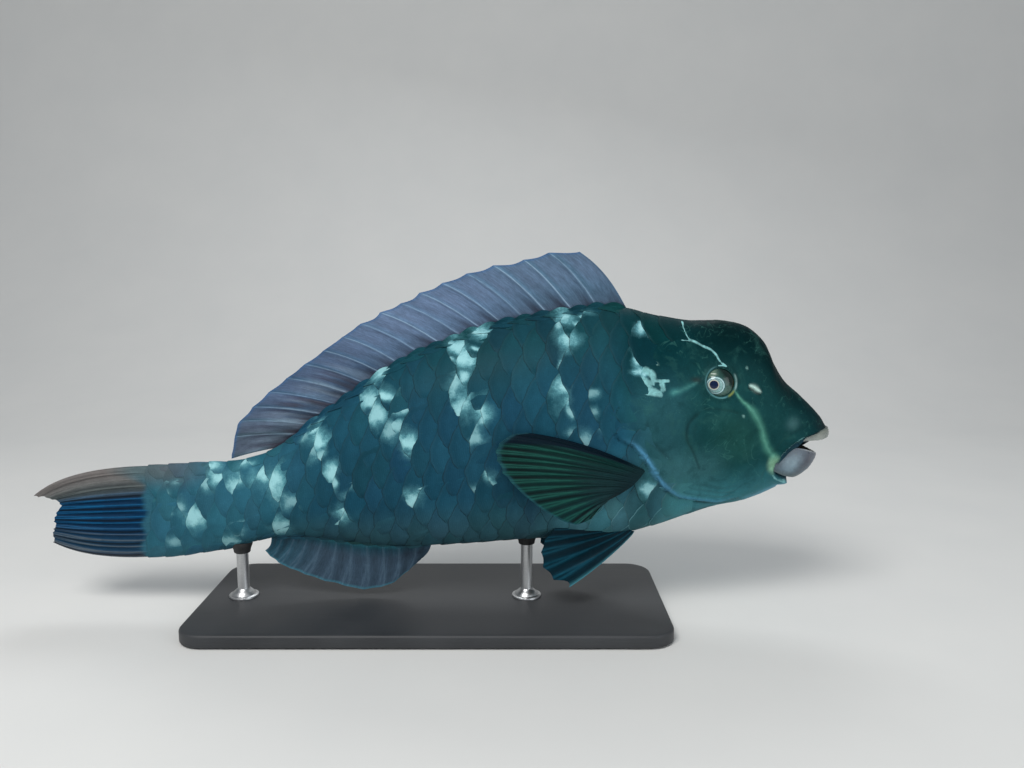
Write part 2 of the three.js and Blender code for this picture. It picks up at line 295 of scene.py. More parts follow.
def surf(u, d):
    """Point and outward normal at skin coordinates; the middle number is positive on the near side."""
    q = on_net(NET, u, d)
    n = on_net(NET_N, u, d)
    return q, n / np.maximum(np.linalg.norm(n, axis=-1, keepdims=True), 1e-9)


def skin_coords(x, z):
    """(u, d) of flank points given by (x, z)."""
    p, h = height_share(x, z)
    h = h - widest(p)
    rise = np.where(h >= 0, h / (1 - widest(p)), h / widest(p))
    n = np.where(h >= 0, full_above(p), full_below(p))
    ang = np.arcsin(np.sign(rise) * np.minimum(1, np.abs(rise)) ** (n / 2))
    u = np.interp(p, P_FINE, U_FINE)
    d = np.zeros_like(u)
    steps = 60
    last = body_point(p, np.zeros_like(p))
    for k in range(1, steps + 1):
        now = body_point(p, ang * k / steps)
        d = d + np.linalg.norm(now - last, axis=-1)
        last = now
    return u, d * np.sign(ang)


# ------------------------------------------------------------------------------ marks, in mm on the flank

# Pale blotches: x, z, half length, half height, tilt in degrees, strength.
PALE = np.array(
    [
        (209.0, 143.2, 8.5, 4.6, -28, 0.95),
        (196.0, 261.5, 2.8, 5.6, 12, 1.0),
        (198.5, 254.0, 5.2, 3.0, -18, 1.0),
        (204.0, 249.5, 5.4, 2.7, -38, 1.0),
        (130, 302, 9.6, 6.1, 0, 1),
        (149, 305, 9.6, 3.5, 0, 1),
        (141, 298, 3.8, 2.7, 0, 0.9),
        (124, 290, 3.8, 6.3, 0, 0.8),
        (134, 282, 10.4, 7.2, 0, 1),
        (133, 271, 5.7, 7.2, 0, 0.95),
        (126, 266, 2.4, 6.3, -30, 0.6),
        (125, 251, 2.3, 9.1, 40, 0.7),
        (128, 235, 9.4, 7.3, 0, 1),
        (131, 223, 8.4, 8.3, 0, 1),
        (132, 212, 3.7, 4.7, 0, 0.7),
        (158, 232, 4.7, 3.7, 0, 0.5),
        (158, 222, 3.8, 2.8, 0, 0.45),
        (148, 194, 5.6, 7.7, 0, 0.55),
        (136, 200, 5.6, 3.8, 0, 0.45),
        (161, 193, 3.8, 4.8, 0, 0.4),
        (202, 296, 6.0, 4.5, 0, 0.6),
        (205, 288, 7.9, 5.4, 0, 1),
        (48, 286, 11.0, 4.1, 5, 1),
        (28, 276, 12.1, 5.2, 0, 1),
        (44, 276, 3.9, 2.2, 0, 0.9),
        (34, 264, 10.8, 7.2, 0, 1),
        (35, 253, 4.8, 6.3, 0, 0.9),
        (22, 268, 6.0, 2.6, 0, 0.8),
        (26, 240, 7.7, 12.7, 0, 0.75),
        (32, 222, 9.6, 11.9, 0, 0.9),
        (50, 216, 10.4, 7.4, 0, 1.1),
        (50, 202, 5.7, 7.5, 0, 0.85),
        (46, 190, 8.5, 7.7, 0, 0.65),
        (59, 152, 8.6, 8.1, 0, 1),
        (45, 148, 5.8, 4.1, 0, 0.45),
        (-53, 242, 10.8, 4.7, 35, 1),
        (-43, 230, 13.4, 4.5, 0, 1),
        (-59, 224, 10.6, 6.2, 0, 0.9),
        (-51, 210, 8.1, 9.1, 0, 0.85),
        (-31, 206, 9.9, 4.6, 0, 0.75),
        (-36, 193, 6.9, 6.6, 0, 0.6),
        (-19, 189, 9.8, 8.5, 0, 1.1),
        (-22, 174, 6.8, 5.8, 0, 0.6),
        (-15, 131, 9.8, 9.4, 0, 1),
        (-116, 195, 11.0, 2.9, 35, 1),
        (-110, 185, 10.8, 7.1, 0, 1.1),
        (-125, 183, 6.8, 5.1, 0, 0.6),
        (-105, 173, 5.2, 7.5, 0, 0.75),
        (-113, 168, 4.2, 6.5, -30, 0.6),
        (-94, 157, 9.2, 8.8, 0, 1.1),
        (-91, 145, 4.0, 7.0, 0, 0.9),
        (-80, 135, 8.0, 4.1, 0, 0.5),
        (-87, 108, 9.6, 9.4, 0, 1.25),
        (-219, 153, 8.2, 3.1, 0, 1),
        (-213, 144, 10.3, 6.5, 0, 1),
        (-226, 132, 9.4, 5.9, 0, 0.65),
        (-185, 155, 10.9, 4.0, 15, 1),
        (-195, 140, 11.6, 8.4, 0, 0.9),
        (-167, 144, 13.2, 9.0, 0, 1.25),
        (-154, 141, 10.0, 13.8, 0, 1.25),
        (-152, 125, 8.2, 10.2, 0, 0.9),
        (-138, 122, 8.1, 6.3, 0, 0.6),
        (-240, 102, 11.5, 10.5, 0, 1.1),
        (-253, 115, 8.5, 7.1, 0, 0.6),
        (-264, 102, 6.5, 2.1, 0, 0.6),
        (-151, 95, 12.6, 10.0, 0, 1.2),
        (-204, 76, 12.1, 6.3, 0, 0.85),
        (-194, 88, 9.2, 4.6, 0, 0.5),
        (-261, 74, 7.4, 4.5, 0, 0.5),
        (-268, 132, 7.5, 5.0, 0, 0.4),
        (-259, 140, 4.2, 2.9, 0, 0.35),
    ],
    float,
)
# Pale strokes: x, z, half width.
SQUIGGLE = [
    [(196.6, 266.9, 3.8), (195.3, 258.7, 3.8)],
    [(195.2, 256.9, 3.3), (206.7, 254.0, 3.3)],
    [(206.7, 254.0, 4.3), (214.2, 249.3, 4.3)],
    [(214.2, 249.3, 2.4), (214.0, 242.0, 2.4)],
    [(202.6, 245.9, 3.8), (211.1, 242.1, 3.8)],
    [(207.2, 236.6, 4.3), (220.5, 232.7, 3.8)],
    [(216.0, 244.7, 1.9), (228.5, 244.5, 1.9)],
    [(222.6, 241.0, 2.8), (224.5, 236.4, 2.8)],
]
STRIPES = [
    [(233.0, 233.5, 2.8), (245.7, 237.9, 2.4), (256.4, 243.3, 1.4)],
    [
        (247.7, 297.6, 1.2),
        (248.2, 292.4, 0.6),
        (250.7, 283.4, 0.7),
        (252.4, 281.6, 1.1),
        (261.7, 277.9, 1.4),
        (270.8, 272.4, 1.3),
        (276.1, 267.0, 1.1),
        (279.5, 261.4, 1.0),
        (283.6, 257.2, 1.1),
    ],
    [(243.5, 281.2, 0.6), (252.3, 280.7, 0.8)],
    [(277.3, 257.3, 0.6), (280.5, 257.6, 1.0), (284.1, 256.8, 0.9)],
    [
        (293.1, 233.5, 1.0),
        (300.0, 224.9, 1.4),
        (308.1, 218.0, 2.6),
        (313.3, 211.1, 3.8),
        (318.7, 201.3, 3.2),
        (322.3, 189.4, 3.6),
        (326.0, 179.2, 3.8),
        (334.2, 168.6, 3.8),
    ],
]
DOTS = [(301.2, 210.6, 0.9), (305.8, 255.5, 0.9), (218.5, 260.2, 0.9)]
NOSTRIL = curve([(306.7, 239.3), (312.2, 236.8), (316.2, 233.8), (320.3, 232.2)], 0.8)
# Edge of the gill cover, from the top round to the throat, and its upward extension over the nape.
GILL = curve(
    [
        (184.3, 235.1),
        (180.5, 225.9),
        (176.7, 209.2),
        (176.8, 197.9),
        (182.6, 190.1),
        (194.1, 184.2),
        (203.0, 174.3),
        (210.1, 164.2),
        (217.5, 151.8),
        (225.0, 142.1),
        (233.5, 135.2),
        (244.2, 128.9),
        (265.2, 124.0),
        (287.1, 120.3),
        (307.1, 124.0),
    ],
    2.0,
)
SCALE_FRONT = np.vstack([[(252, 330), (246, 305), (228, 286), (208, 262), (190, 243)], GILL, [(330, 60)]])
PREOP = curve(
    [(262, 219), (258.9, 215.4), (249.3, 206.2), (246.5, 198.6), (246.8, 189.0), (252.1, 179.0), (257.6, 166.9), (262.6, 153.2)],
    2.0,
)
CHEEK_LINE = curve([(258.9, 218.2), (272.5, 218.0), (288.2, 215.7), (300.1, 212.5)], 2.0)
OPERCLE_LINE = curve([(208.9, 210.7), (209.1, 194.6), (213.1, 186.8), (223.0, 177.9), (233.1, 167.7)], 2.0)
LIP_TOP = curve(
    [(338.8, 165.6), (344.6, 171.5), (349.6, 176.7), (357.0, 181.1), (365.6, 184.9), (375.6, 188.2), (392.0, 190.8), (412, 192.6)],
    0.8,
)
LIP_LOW = curve(
    [(338.8, 165.6), (336.6, 160.5), (335.8, 154.5), (337.6, 149.6), (342.0, 146.3), (353.4, 139.6), (368, 131), (412, 120)], 0.8
)
MOUTH = np.vstack([LIP_TOP, LIP_LOW[::-1]])
CORNER = np.array([338.8, 165.6])

EYE = dict(x=279.1, z=242.7, orbit=13.3, radius=14.8, depth=8.6, sunk=4.4)
IRIS = (272.0, 240.9)

# ------------------------------------------------------------------------------ colours

C_FLANK = srgb(26, 68, 86)
C_BACK = srgb(22, 62, 71)
C_BELLY = srgb(56, 94, 104)
C_STALK = srgb(45, 95, 112)
C_NAPE = srgb(4, 44, 48)
C_HEAD = srgb(20, 62, 64)
C_OPERCLE = srgb(36, 78, 85)
C_CROWN = srgb(4, 29, 31)
C_SNOUT = srgb(12, 42, 46)
C_THROAT = srgb(60, 124, 134)
C_CHEEK = srgb(30, 72, 67)
C_PALE = srgb(150, 202, 208)
C_PALE_DIM = srgb(88, 146, 156)
C_STRIPE = srgb(140, 200, 202)
# colour of the painted shade in creases
C_CREASE_SHADE = srgb(30, 36, 36)


def base_colour(x, z, h):
    """Ground colour of skin and scales from place: h is the share of the body's height."""
    shape = np.broadcast(x, z, h).shape
    x, z, h = [np.broadcast_to(v, shape).astype(float)[..., None] for v in (x, z, h)]
    col = np.broadcast_to(C_FLANK, shape + (3,)).copy()
    col = mix(col, C_BACK, smooth(0.62, 0.95, h) * smooth(-120, 60, x))
    col = mix(col, C_BELLY, smooth(0.30, 0.02, h) * 0.9)
    col = mix(col, srgb(62, 114, 122), smooth(0.50, 0.12, h) * smooth(90, 150, x) * 0.8)
    # painted light: a paler patch on the lower flank under the pectoral fin, offsetting the fin's shadow there
    col = mix(col, srgb(92, 152, 162), np.exp(-(((x - 158) / 32) ** 2) - ((z - 108) / 22) ** 2) * 0.5)
    col = mix(col, C_STALK, smooth(-90, -190, x) * 0.8)
    col = mix(col, srgb(86, 92, 97), smooth(-205, -272, x) * smooth(0.70, 0.95, h) * 0.8)
    # head
    nape = smooth(165, 205, x) * smooth(0.5, 0.8, h)
    col = mix(col, C_NAPE, nape * 0.9)
    head = smooth(178, 215, x + (z - 200) * 0.0)
    col = mix(col, C_OPERCLE, head * smooth(0.85, 0.6, h))
    col = mix(col, C_HEAD, smooth(225, 268, x) * smooth(0.95, 0.75, h))
    col = mix(col, C_CHEEK, smooth(22, 5, np.hypot((x - 296) / 1.5, (z - 190) / 1.6)) * 0.7)
    col = mix(col, C_CROWN, smooth(0.66, 0.98, h) * smooth(228, 290, x))
    front = smooth(345, 392, x + (z - 190) * 0.35)
    col = mix(col, C_SNOUT, front * smooth(150, 180, z) * 0.85)
    rim = smooth(300, 352, x) * smooth(205, 262, z)
    col = mix(col, C_CROWN, rim * 0.9)
    col = mix(col, srgb(58, 104, 110), smooth(190, 160, z) * smooth(205, 235, x) * smooth(300, 262, x) * 0.6)
    throat = smooth(166, 122, z - (x - 290) * 0.18) * smooth(200, 250, x)
    col = mix(col, C_THROAT, throat * 0.85)
    return col


def ellipses(x, z, warp):
    """Pale field at (x, z), over 0.5 inside a blotch, and the strength of the nearest blotch."""
    x, z = x + warp[..., 0], z + warp[..., 1]
    best = np.zeros(x.shape)
    tone = np.zeros(x.shape)
    for cx, cz, rx, rz, tilt, strength in PALE:
        ex, ez = x - cx, z - cz
        if tilt:
            a = math.radians(tilt)
            ex, ez = ex * math.cos(a) + ez * math.sin(a), -ex * math.sin(a) + ez * math.cos(a)
        r = np.hypot(ex / rx, ez / rz)
        now = np.clip((1.75 - r) / 1.5, 0, 1)
        tone = np.where(now > best, strength, tone)
        best = np.maximum(best, now)
    return best, tone


def strokes(x, z, lines):
    best = np.zeros(np.shape(x))
    for line in lines:
        a = curve(line, 1.5)
        ok = (np.abs(x - a[:, 0].mean()) < 60) & (np.abs(z - a[:, 1].mean()) < 90)
        if not ok.any():
            continue
        d, _t, _q, w = to_line(x[ok], z[ok], a)
        best[ok] = np.maximum(best[ok], np.clip(1.5 - np.abs(d) / w, 0, 1))
    return best


def warp_of(p, side):
    """Ragged edges for the blotches, and a pattern of its own on the far side."""
    q = np.stack([p[..., 0], p[..., 1] * 0.3, p[..., 2]], -1)
    w = np.stack([noise(q, 9, 3) * 2.6 + noise(q, 4, 5) * 1.3, noise(q, 8, 7) * 2.6 + noise(q, 4, 9) * 1.3], -1)
    if side < 0:
        w = w * -1.0 + np.array([7.0, -4.0]) + np.stack([noise(q, 60, 21) * 9, noise(q, 60, 23) * 7], -1)
    return w


# ------------------------------------------------------------------------------ meshes


def make(name, verts, quads, tris=None, loop_uv=None, attrs=None, material=None, sharp=None):
    """A mesh object from table points in mm. quads and tris index verts; loop_uv follows their corners."""
    quads = np.asarray(quads, np.int64).reshape(-1, 4)
    tris = np.zeros((0, 3), np.int64) if tris is None else np.asarray(tris, np.int64).reshape(-1, 3)
    me = bpy.data.meshes.new(name)
    co = np.asarray(verts, float) + np.array([SHIFT, 0, 0])
    co = (co / 1000).astype(np.float32)
    me.vertices.add(len(co))
    me.vertices.foreach_set("co", co.ravel())
    corners = np.concatenate([quads.ravel(), tris.ravel()]).astype(np.int32)
    me.loops.add(len(corners))
    me.loops.foreach_set("vertex_index", corners)
    starts = np.concatenate([np.arange(len(quads)) * 4, len(quads) * 4 + np.arange(len(tris)) * 3]).astype(np.int32)
    me.polygons.add(len(starts))
    me.polygons.foreach_set("loop_start", starts)
    me.polygons.foreach_set("use_smooth", np.ones(len(starts), bool))
    me.update(calc_edges=True)
    if loop_uv is not None:
        uv = me.uv_layers.new(name="OFBake")
        uv.data.foreach_set("uv", np.asarray(loop_uv, np.float32).ravel())
    for key, values in (attrs or {}).items():
        values = np.asarray(values, np.float32)
        if values.ndim == 2:
            rgba = np.ones((len(values), 4), np.float32)
            rgba[:, :3] = values
            a = me.attributes.new(key, "FLOAT_COLOR", "POINT")
            a.data.foreach_set("color", rgba.ravel())
        else:
            a = me.attributes.new(key, "FLOAT", "POINT")
            a.data.foreach_set("value", values.ravel())
    if sharp is not None:
        me.set_sharp_from_angle(angle=math.radians(sharp))
    if me.validate(verbose=False):
        print("note: mesh", name, "was mended")
    o = bpy.data.objects.new(name, me)
    bpy.context.scene.collection.objects.link(o)
    if material is not None:
        me.materials.append(material)
    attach(o, "root")
    return o


def grid_quads(rows, cols, start=0, wrap=False, flip=False):
    """Corner indices of a grid of vertices stored row by row."""
    i, j = np.meshgrid(np.arange(rows - 1), np.arange(cols if wrap else cols - 1), indexing="ij")
    k = (j + 1) % cols
    q = np.stack([i * cols + j, i * cols + k, (i + 1) * cols + k, (i + 1) * cols + j], -1).reshape(-1, 4)
    return (q[:, ::-1] if flip else q) + start


# ------------------------------------------------------------------------------ materials


def nodes_of(name):
    m = bpy.data.materials.new(name)
    m.use_nodes = True
    nt = m.node_tree
    nt.nodes.clear()
    out = nt.nodes.new("ShaderNodeOutputMaterial")
    bsdf = nt.nodes.new("ShaderNodeBsdfPrincipled")
    nt.links.new(bsdf.outputs[0], out.inputs[0])
    return m, nt, bsdf


def put(nt, socket, value):
    if isinstance(value, bpy.types.NodeSocket):
        nt.links.new(value, socket)
    elif value is not None:
        socket.default_value = value


def attr(nt, name, colour=False):
    n = nt.nodes.new("ShaderNodeAttribute")
    n.attribute_name = name
    return n.outputs["Color" if colour else "Fac"]


def maths(nt, op, a, b=None, c=None, clamp=False):
    n = nt.nodes.new("ShaderNodeMath")
    n.operation = op
    n.use_clamp = clamp
    for s, v in zip(n.inputs, (a, b, c)):
        put(nt, s, v)
    return n.outputs[0]


def remap(nt, value, a, b, c=0.0, d=1.0, kind="SMOOTHSTEP"):
    n = nt.nodes.new("ShaderNodeMapRange")
    n.interpolation_type = kind
    for key, v in (("Value", value), ("From Min", a), ("From Max", b), ("To Min", c), ("To Max", d)):
        put(nt, n.inputs[key], v)
    return n.outputs["Result"]


def blend(nt, fac, a, b, mode="MIX"):
    n = nt.nodes.new("ShaderNodeMix")
    n.data_type = "RGBA"
    n.blend_type = mode
    n.clamp_factor = True
    put(nt, n.inputs[0], fac)
    put(nt, n.inputs[6], a)
    put(nt, n.inputs[7], b)
    return n.outputs[2]


def place(nt, stretch=None):
    n = nt.nodes.new("ShaderNodeTexCoord")
    if stretch is None:
        return n.outputs["Object"]
    m = nt.nodes.new("ShaderNodeMapping")
    m.inputs["Scale"].default_value = stretch
    nt.links.new(n.outputs["Object"], m.inputs["Vector"])
    return m.outputs["Vector"]


def grain(nt, where, scale, detail=3.0, rough=0.55, warp=0.0):
    n = nt.nodes.new("ShaderNodeTexNoise")
    nt.links.new(where, n.inputs["Vector"])
    n.inputs["Scale"].default_value = scale
    n.inputs["Detail"].default_value = detail
    n.inputs["Roughness"].default_value = rough
    n.inputs["Distortion"].default_value = warp
    return n.outputs["Fac"]


def cells(nt, where, scale, feature="F1", out="Distance"):
    n = nt.nodes.new("ShaderNodeTexVoronoi")
    n.feature = feature
    nt.links.new(where, n.inputs["Vector"])
    n.inputs["Scale"].default_value = scale
    return n.outputs[out]


def bump(nt, height, strength, distance, before=None):
    n = nt.nodes.new("ShaderNodeBump")
    n.inputs["Strength"].default_value = strength
    n.inputs["Distance"].default_value = distance
    nt.links.new(height, n.inputs["Height"])
    if before is not None:
        nt.links.new(before, n.inputs["Normal"])
    return n.outputs[0]


def rgb(c, k=1.0):
    return (float(c[0]) * k, float(c[1]) * k, float(c[2]) * k, 1.0)


def skin_material(name, scaled):
    """Satin fish skin: ground colour, marks and painted shade from the mesh, mottling, freckles and fine relief here.
    """
    m, nt, bsdf = nodes_of(name)
    here = place(nt)
    ground = attr(nt, "ground", True)
    big = grain(nt, here, 28, 4, 0.6)
    mid = grain(nt, here, 130, 4, 0.65, 0.4)
    fine = grain(nt, here, 900, 2, 0.6)
    tone = maths(nt, "MULTIPLY_ADD", big, 0.36, 0.82)
    tone = maths(nt, "MULTIPLY", tone, maths(nt, "MULTIPLY_ADD", mid, 0.30, 0.85))
    tone = maths(nt, "MULTIPLY", tone, maths(nt, "MULTIPLY_ADD", fine, 0.34, 0.83))
    specks = remap(nt, cells(nt, here, 260), 0.10, 0.22, 1.16, 1.0)
    tone = maths(nt, "MULTIPLY", tone, specks)
    wash = grain(nt, place(nt, (1.0, 1.0, 0.4)), 60, 3, 0.6, 0.8)
    tone = maths(nt, "MULTIPLY", tone, maths(nt, "MULTIPLY_ADD", wash, 0.34, 0.84))
    grey = nt.nodes.new("ShaderNodeCombineColor")
    for k in range(3):
        nt.links.new(tone, grey.inputs[k])
    col = blend(nt, 1.0, ground, grey.outputs[0], "MULTIPLY")
    if not scaled:
        swirl = grain(nt, here, 34, 3, 0.55, 1.6)
        near = maths(nt, "ABSOLUTE", maths(nt, "SUBTRACT", swirl, 0.5))
        vein = maths(nt, "MULTIPLY", remap(nt, near, 0.004, 0.016, 1.0, 0.0), remap(nt, big, 0.45, 0.62, 0.0, 0.22))
        col = blend(nt, vein, col, rgb(srgb(70, 128, 118)))
        cloud = grain(nt, here, 52, 4, 0.6, 0.7)
        col = blend(nt, remap(nt, cloud, 0.50, 0.68, 0.0, 0.30), col, rgb(srgb(10, 40, 42)))
        col = blend(nt, remap(nt, cloud, 0.48, 0.32, 0.0, 0.22), col, rgb(srgb(50, 98, 92)))
    # pale marks: a soft glow round ragged patches, brightest in the middle
    pale, pale_tone = attr(nt, "pale"), attr(nt, "pale_tone")
    edge = maths(nt, "MULTIPLY_ADD", maths(nt, "SUBTRACT", mid, 0.5), 0.62, pale)
    edge = maths(nt, "MULTIPLY_ADD", maths(nt, "SUBTRACT", fine, 0.5), 0.22, edge)
    glow = maths(nt, "MULTIPLY", remap(nt, edge, 0.18, 0.72), 0.42)
    patch = maths(nt, "MULTIPLY", remap(nt, edge, 0.50, 0.84), 0.58)
    mask = maths(nt, "MULTIPLY", maths(nt, "ADD", glow, patch), pale_tone, clamp=True)
    light = blend(nt, remap(nt, edge, 0.62, 1.02), rgb(C_PALE_DIM), rgb(C_PALE))
    col = blend(nt, mask, col, light)
    stripe = attr(nt, "stripe")
    s_edge = maths(nt, "MULTIPLY_ADD", maths(nt, "SUBTRACT", mid, 0.5), 0.7, stripe)
    s_mask = maths(nt, "MULTIPLY", remap(nt, s_edge, 0.42, 1.0), attr(nt, "stripe_tone"))
    s_col = blend(nt, remap(nt, mid, 0.35, 0.7), rgb(C_STRIPE, 0.7), rgb(C_STRIPE, 1.15))
    col = blend(nt, s_mask, col, s_col)
    # painted shade in creases, in slits and under the gill cover darkens the colour
    crease_shade = attr(nt, "crease_shade")
    col = blend(nt, maths(nt, "MULTIPLY", crease_shade, 0.8, clamp=True), col, rgb(C_CREASE_SHADE, 0.45))
    if scaled:
        # a thin dark outline along each scale's free edge, partly the scale's own dark margin and partly painted shade
        # of the step down to the next scale; breast scales get a pale outline; a faint pale band runs next to it
        rim = attr(nt, "rim")
        wob = maths(nt, "MULTIPLY_ADD", maths(nt, "SUBTRACT", mid, 0.5), 1.1, rim)
        line = remap(nt, wob, 0.34, 0.95, 1.0, 0.0)
        keep = remap(nt, big, 0.35, 0.62, 0.26, 0.66)
        over = blend(nt, attr(nt, "edge"), rgb(srgb(27, 31, 32)), rgb(srgb(112, 164, 174)))
        col = blend(nt, maths(nt, "MULTIPLY", line, keep), col, over)
        halo = remap(nt, wob, 1.4, 4.6, 1.0, 0.0)
        col = blend(nt, maths(nt, "MULTIPLY", halo, 0.045), col, blend(nt, 0.35, col, rgb(C_PALE, 0.6)))
    put(nt, bsdf.inputs["Base Color"], col)
    low, high = (0.46, 0.62) if scaled else (0.38, 0.54)
    rough = remap(nt, mid, 0.3, 0.7, low, high, "LINEAR")
    put(nt, bsdf.inputs["Roughness"], rough)
    bsdf.inputs["Specular IOR Level"].default_value = 0.06 if scaled else 0.035
    bsdf.inputs["Specular Tint"].default_value = (0.35, 0.85, 1.0, 1.0)
    bsdf.inputs["Coat Weight"].default_value = 0.012
    bsdf.inputs["Coat Roughness"].default_value = 0.25
    pores = cells(nt, here, 700 if scaled else 620)
    b = bump(nt, big, 0.25, 0.0012)
    b = bump(nt, mid, 0.22, 0.0006, b)
    b = bump(nt, pores, 0.16, 0.00035, b)
    if scaled:
        grow = attr(nt, "grow")
        wave = maths(nt, "SINE", maths(nt, "MULTIPLY_ADD", maths(nt, "SUBTRACT", mid, 0.5), 5.0, grow))
        b = bump(nt, wave, 0.10, 0.00025, b)
    else:
        b = bump(nt, fine, 0.12, 0.0003, b)
    put(nt, bsdf.inputs["Normal"], b)
    return m


def fin_material(name, freckle=0.2, rough=(0.36, 0.52), see=0.0):
    """Fin membrane: colour from the mesh, streaks and freckles along the rays, satin gloss."""
    m, nt, bsdf = nodes_of(name)
    here = place(nt)
    paint = attr(nt, "ground", True)
    n = nt.nodes.new("ShaderNodeCombineXYZ")
    nt.links.new(maths(nt, "MULTIPLY", attr(nt, "ray_no"), 1.0), n.inputs[0])
    nt.links.new(maths(nt, "MULTIPLY", attr(nt, "ray_at"), 0.16), n.inputs[1])
    streak = grain(nt, n.outputs[0], 15.0, 5, 0.62, 0.15)
    mid = grain(nt, here, 160, 4, 0.6)
    fine = grain(nt, here, 1100, 2, 0.6)
    tone = maths(nt, "MULTIPLY_ADD", streak, 1.15, 0.42)
    tone = maths(nt, "MULTIPLY", tone, maths(nt, "MULTIPLY_ADD", mid, 0.32, 0.84))
    tone = maths(nt, "MULTIPLY", tone, maths(nt, "MULTIPLY_ADD", fine, freckle * 2, 1 - freckle))
    grey = nt.nodes.new("ShaderNodeCombineColor")
    for k in range(3):
        nt.links.new(tone, grey.inputs[k])
    col = blend(nt, 1.0, paint, grey.outputs[0], "MULTIPLY")
    put(nt, bsdf.inputs["Base Color"], col)
    put(nt, bsdf.inputs["Roughness"], remap(nt, mid, 0.3, 0.7, rough[0], rough[1], "LINEAR"))
    bsdf.inputs["Specular IOR Level"].default_value = 0.08
    bsdf.inputs["Coat Weight"].default_value = 0.01
    bsdf.inputs["Coat Roughness"].default_value = 0.25
    b = bump(nt, streak, 0.35, 0.0008)
    b = bump(nt, fine, 0.12, 0.00025, b)
    # joints of the soft rays
    joints = maths(nt, "SINE", maths(nt, "MULTIPLY", attr(nt, "ray_mm"), 3.4))
    b = bump(nt, maths(nt, "MULTIPLY", joints, attr(nt, "ray")), 0.12, 0.00025, b)
    put(nt, bsdf.inputs["Normal"], b)
    return m


# ------------------------------------------------------------------------------ relief of the skin

G_BUMPS = [  # x, z, half length, half height, mm: soft forms of the head
    (286, 262, 26, 10, 1.2),
    (310, 246, 14, 12, -1.2),
    (300, 196, 34, 26, 1.6),
    (262, 205, 16, 34, 0.8),
    (222, 205, 26, 32, 1.2),
    (352, 205, 20, 13, 0.9),
    (328, 150, 16, 12, 1.0),
    (255, 236, 16, 9, -0.8),
    (330, 228, 15, 22, -0.7),
    (205, 250, 16, 20, 0.6),
]


def gill_fade(t, x):
    return smooth(0.0, 0.10, t) * (1 - smooth(0.86, 1.0, t))


def relief(x, z):
    """Height of the living form over the plain body, shared by skin and scales, in mm."""
    x = np.asarray(x, float)
    z = np.asarray(z, float)
    out = np.zeros(x.shape)
    near = x > 120
    xs, zs = x[near], z[near]
    s, t, _q, _w = to_line(xs, zs, GILL)
    f = gill_fade(t, xs)
    head_side = s > 0
    lift = np.where(
        head_side,
        2.5 * np.exp(-np.maximum(s, 0) / 17) * smooth(-0.2, 1.6, s),
        -1.1 * np.exp(-np.abs(s) / 8.0),
    )
    h = lift * f
    for cx, cz, rx, rz, up in G_BUMPS:
        h += up * np.exp(-(((xs - cx) / rx) ** 2) - ((zs - cz) / rz) ** 2)
    out[near] = h
    return out


def fine_relief(x, z):
    """Creases, folds and lips of the bare head skin, in mm."""
    h = np.zeros(x.shape)
    for line, depth, width, after in ((PREOP, 0.9, 1.7, 0.55), (CHEEK_LINE, 0.45, 1.4, 0.15), (OPERCLE_LINE, 0.5, 2.0, 0.3)):
        s, t, _q, _w = to_line(x, z, line)
        ends = smooth(0, 0.15, t) * (1 - smooth(0.85, 1, t))
        h -= depth * np.exp(-((s / width) ** 2)) * ends
        h += after * np.exp(-(((np.abs(s) - 4.5) / 3.2) ** 2)) * ends
    # folds of the throat, along the gill cover's lower edge
    s, t, _q, _w = to_line(x, z, GILL)
    for k, off in enumerate((5.5, 11.0, 17.0)):
        h -= (0.75 - 0.15 * k) * np.exp(-(((s - off - 1.5 * np.sin(t * 9 + k)) / 1.1) ** 2)) * smooth(0.62, 0.74, t) * (1 - smooth(0.95, 1, t))
        h += 0.25 * np.exp(-(((s - off - 2.6) / 1.4) ** 2)) * smooth(0.62, 0.74, t) * (1 - smooth(0.95, 1, t))
    return h


def orbit_lift(r, a):
    """Lid round the eye: r in mm from its centre, a the angle (0 to the front, 90 degrees up)."""
    lid = 1.5 * np.exp(-(((r - 15.2) / 2.4) ** 2))
    groove = -0.55 * np.exp(-(((r - 19.0) / 1.6) ** 2)) * (0.6 + 0.4 * np.cos(a - 2.6))
    wrinkle = 0.22 * np.sin(a * 9 + np.sin(a * 4) * 2) * np.exp(-(((r - 19.5) / 3.5) ** 2))
    return lid + groove + wrinkle


# Lattice of the scales, in skin coordinates.
ROW, PITCH = 27.0, 19.9


def row_d(k, u):
    c = -0.13 + 0.0021 * (np.clip(u, 190, 500) - 300)
    gap = ROW * mix(0.88, 1.0, smooth(20, 200, u))
    return gap * (k + c)


def scale_height(u, d):
    """Height field of overlapping scales, for faint relief where they fade into the head."""
    top = np.full(u.shape, -9.0)
    edge = np.full(u.shape, 99.0)
    for k in range(-6, 6):
        dk = row_d(k, u)
        lat = (d - dk) / ROW
        phase = 5.0 + (PITCH / 2 if k % 2 else 0)
        e = 10.2 * np.abs(np.clip(lat, -1.3, 1.3)) ** 1.9
        n = np.floor((u - e - phase) / PITCH)
        w = u - e - phase - n * PITCH
        ok = np.abs(lat) < 1.1
        hgt = 1.0 - 0.05 * (w + e)
        m = ok & (hgt > top)
        edge = np.where(m, w, edge)
        top = np.where(m, hgt, top)
    return top, edge


# ------------------------------------------------------------------------------ the skin

U_SPLIT = 395.0
RING_COARSE, RING_FINE = 160, 320
R_CUT, R_PATCH = 18.6, 17.3
LIP_PULL = np.array([350.0, 0.0, 160.0])


def stations():
    out = [0.0]
    for end, step in (
        (U_SPLIT, 5.0),
        (470, 2.4),
        (545, 1.6),
        (618, 1.05),
        (652, 1.3),
        (U_END, 0.9),
    ):
        n = max(1, round((end - out[-1]) / step))
        out += list(np.linspace(out[-1], end, n + 1)[1:])
    return np.array(out)


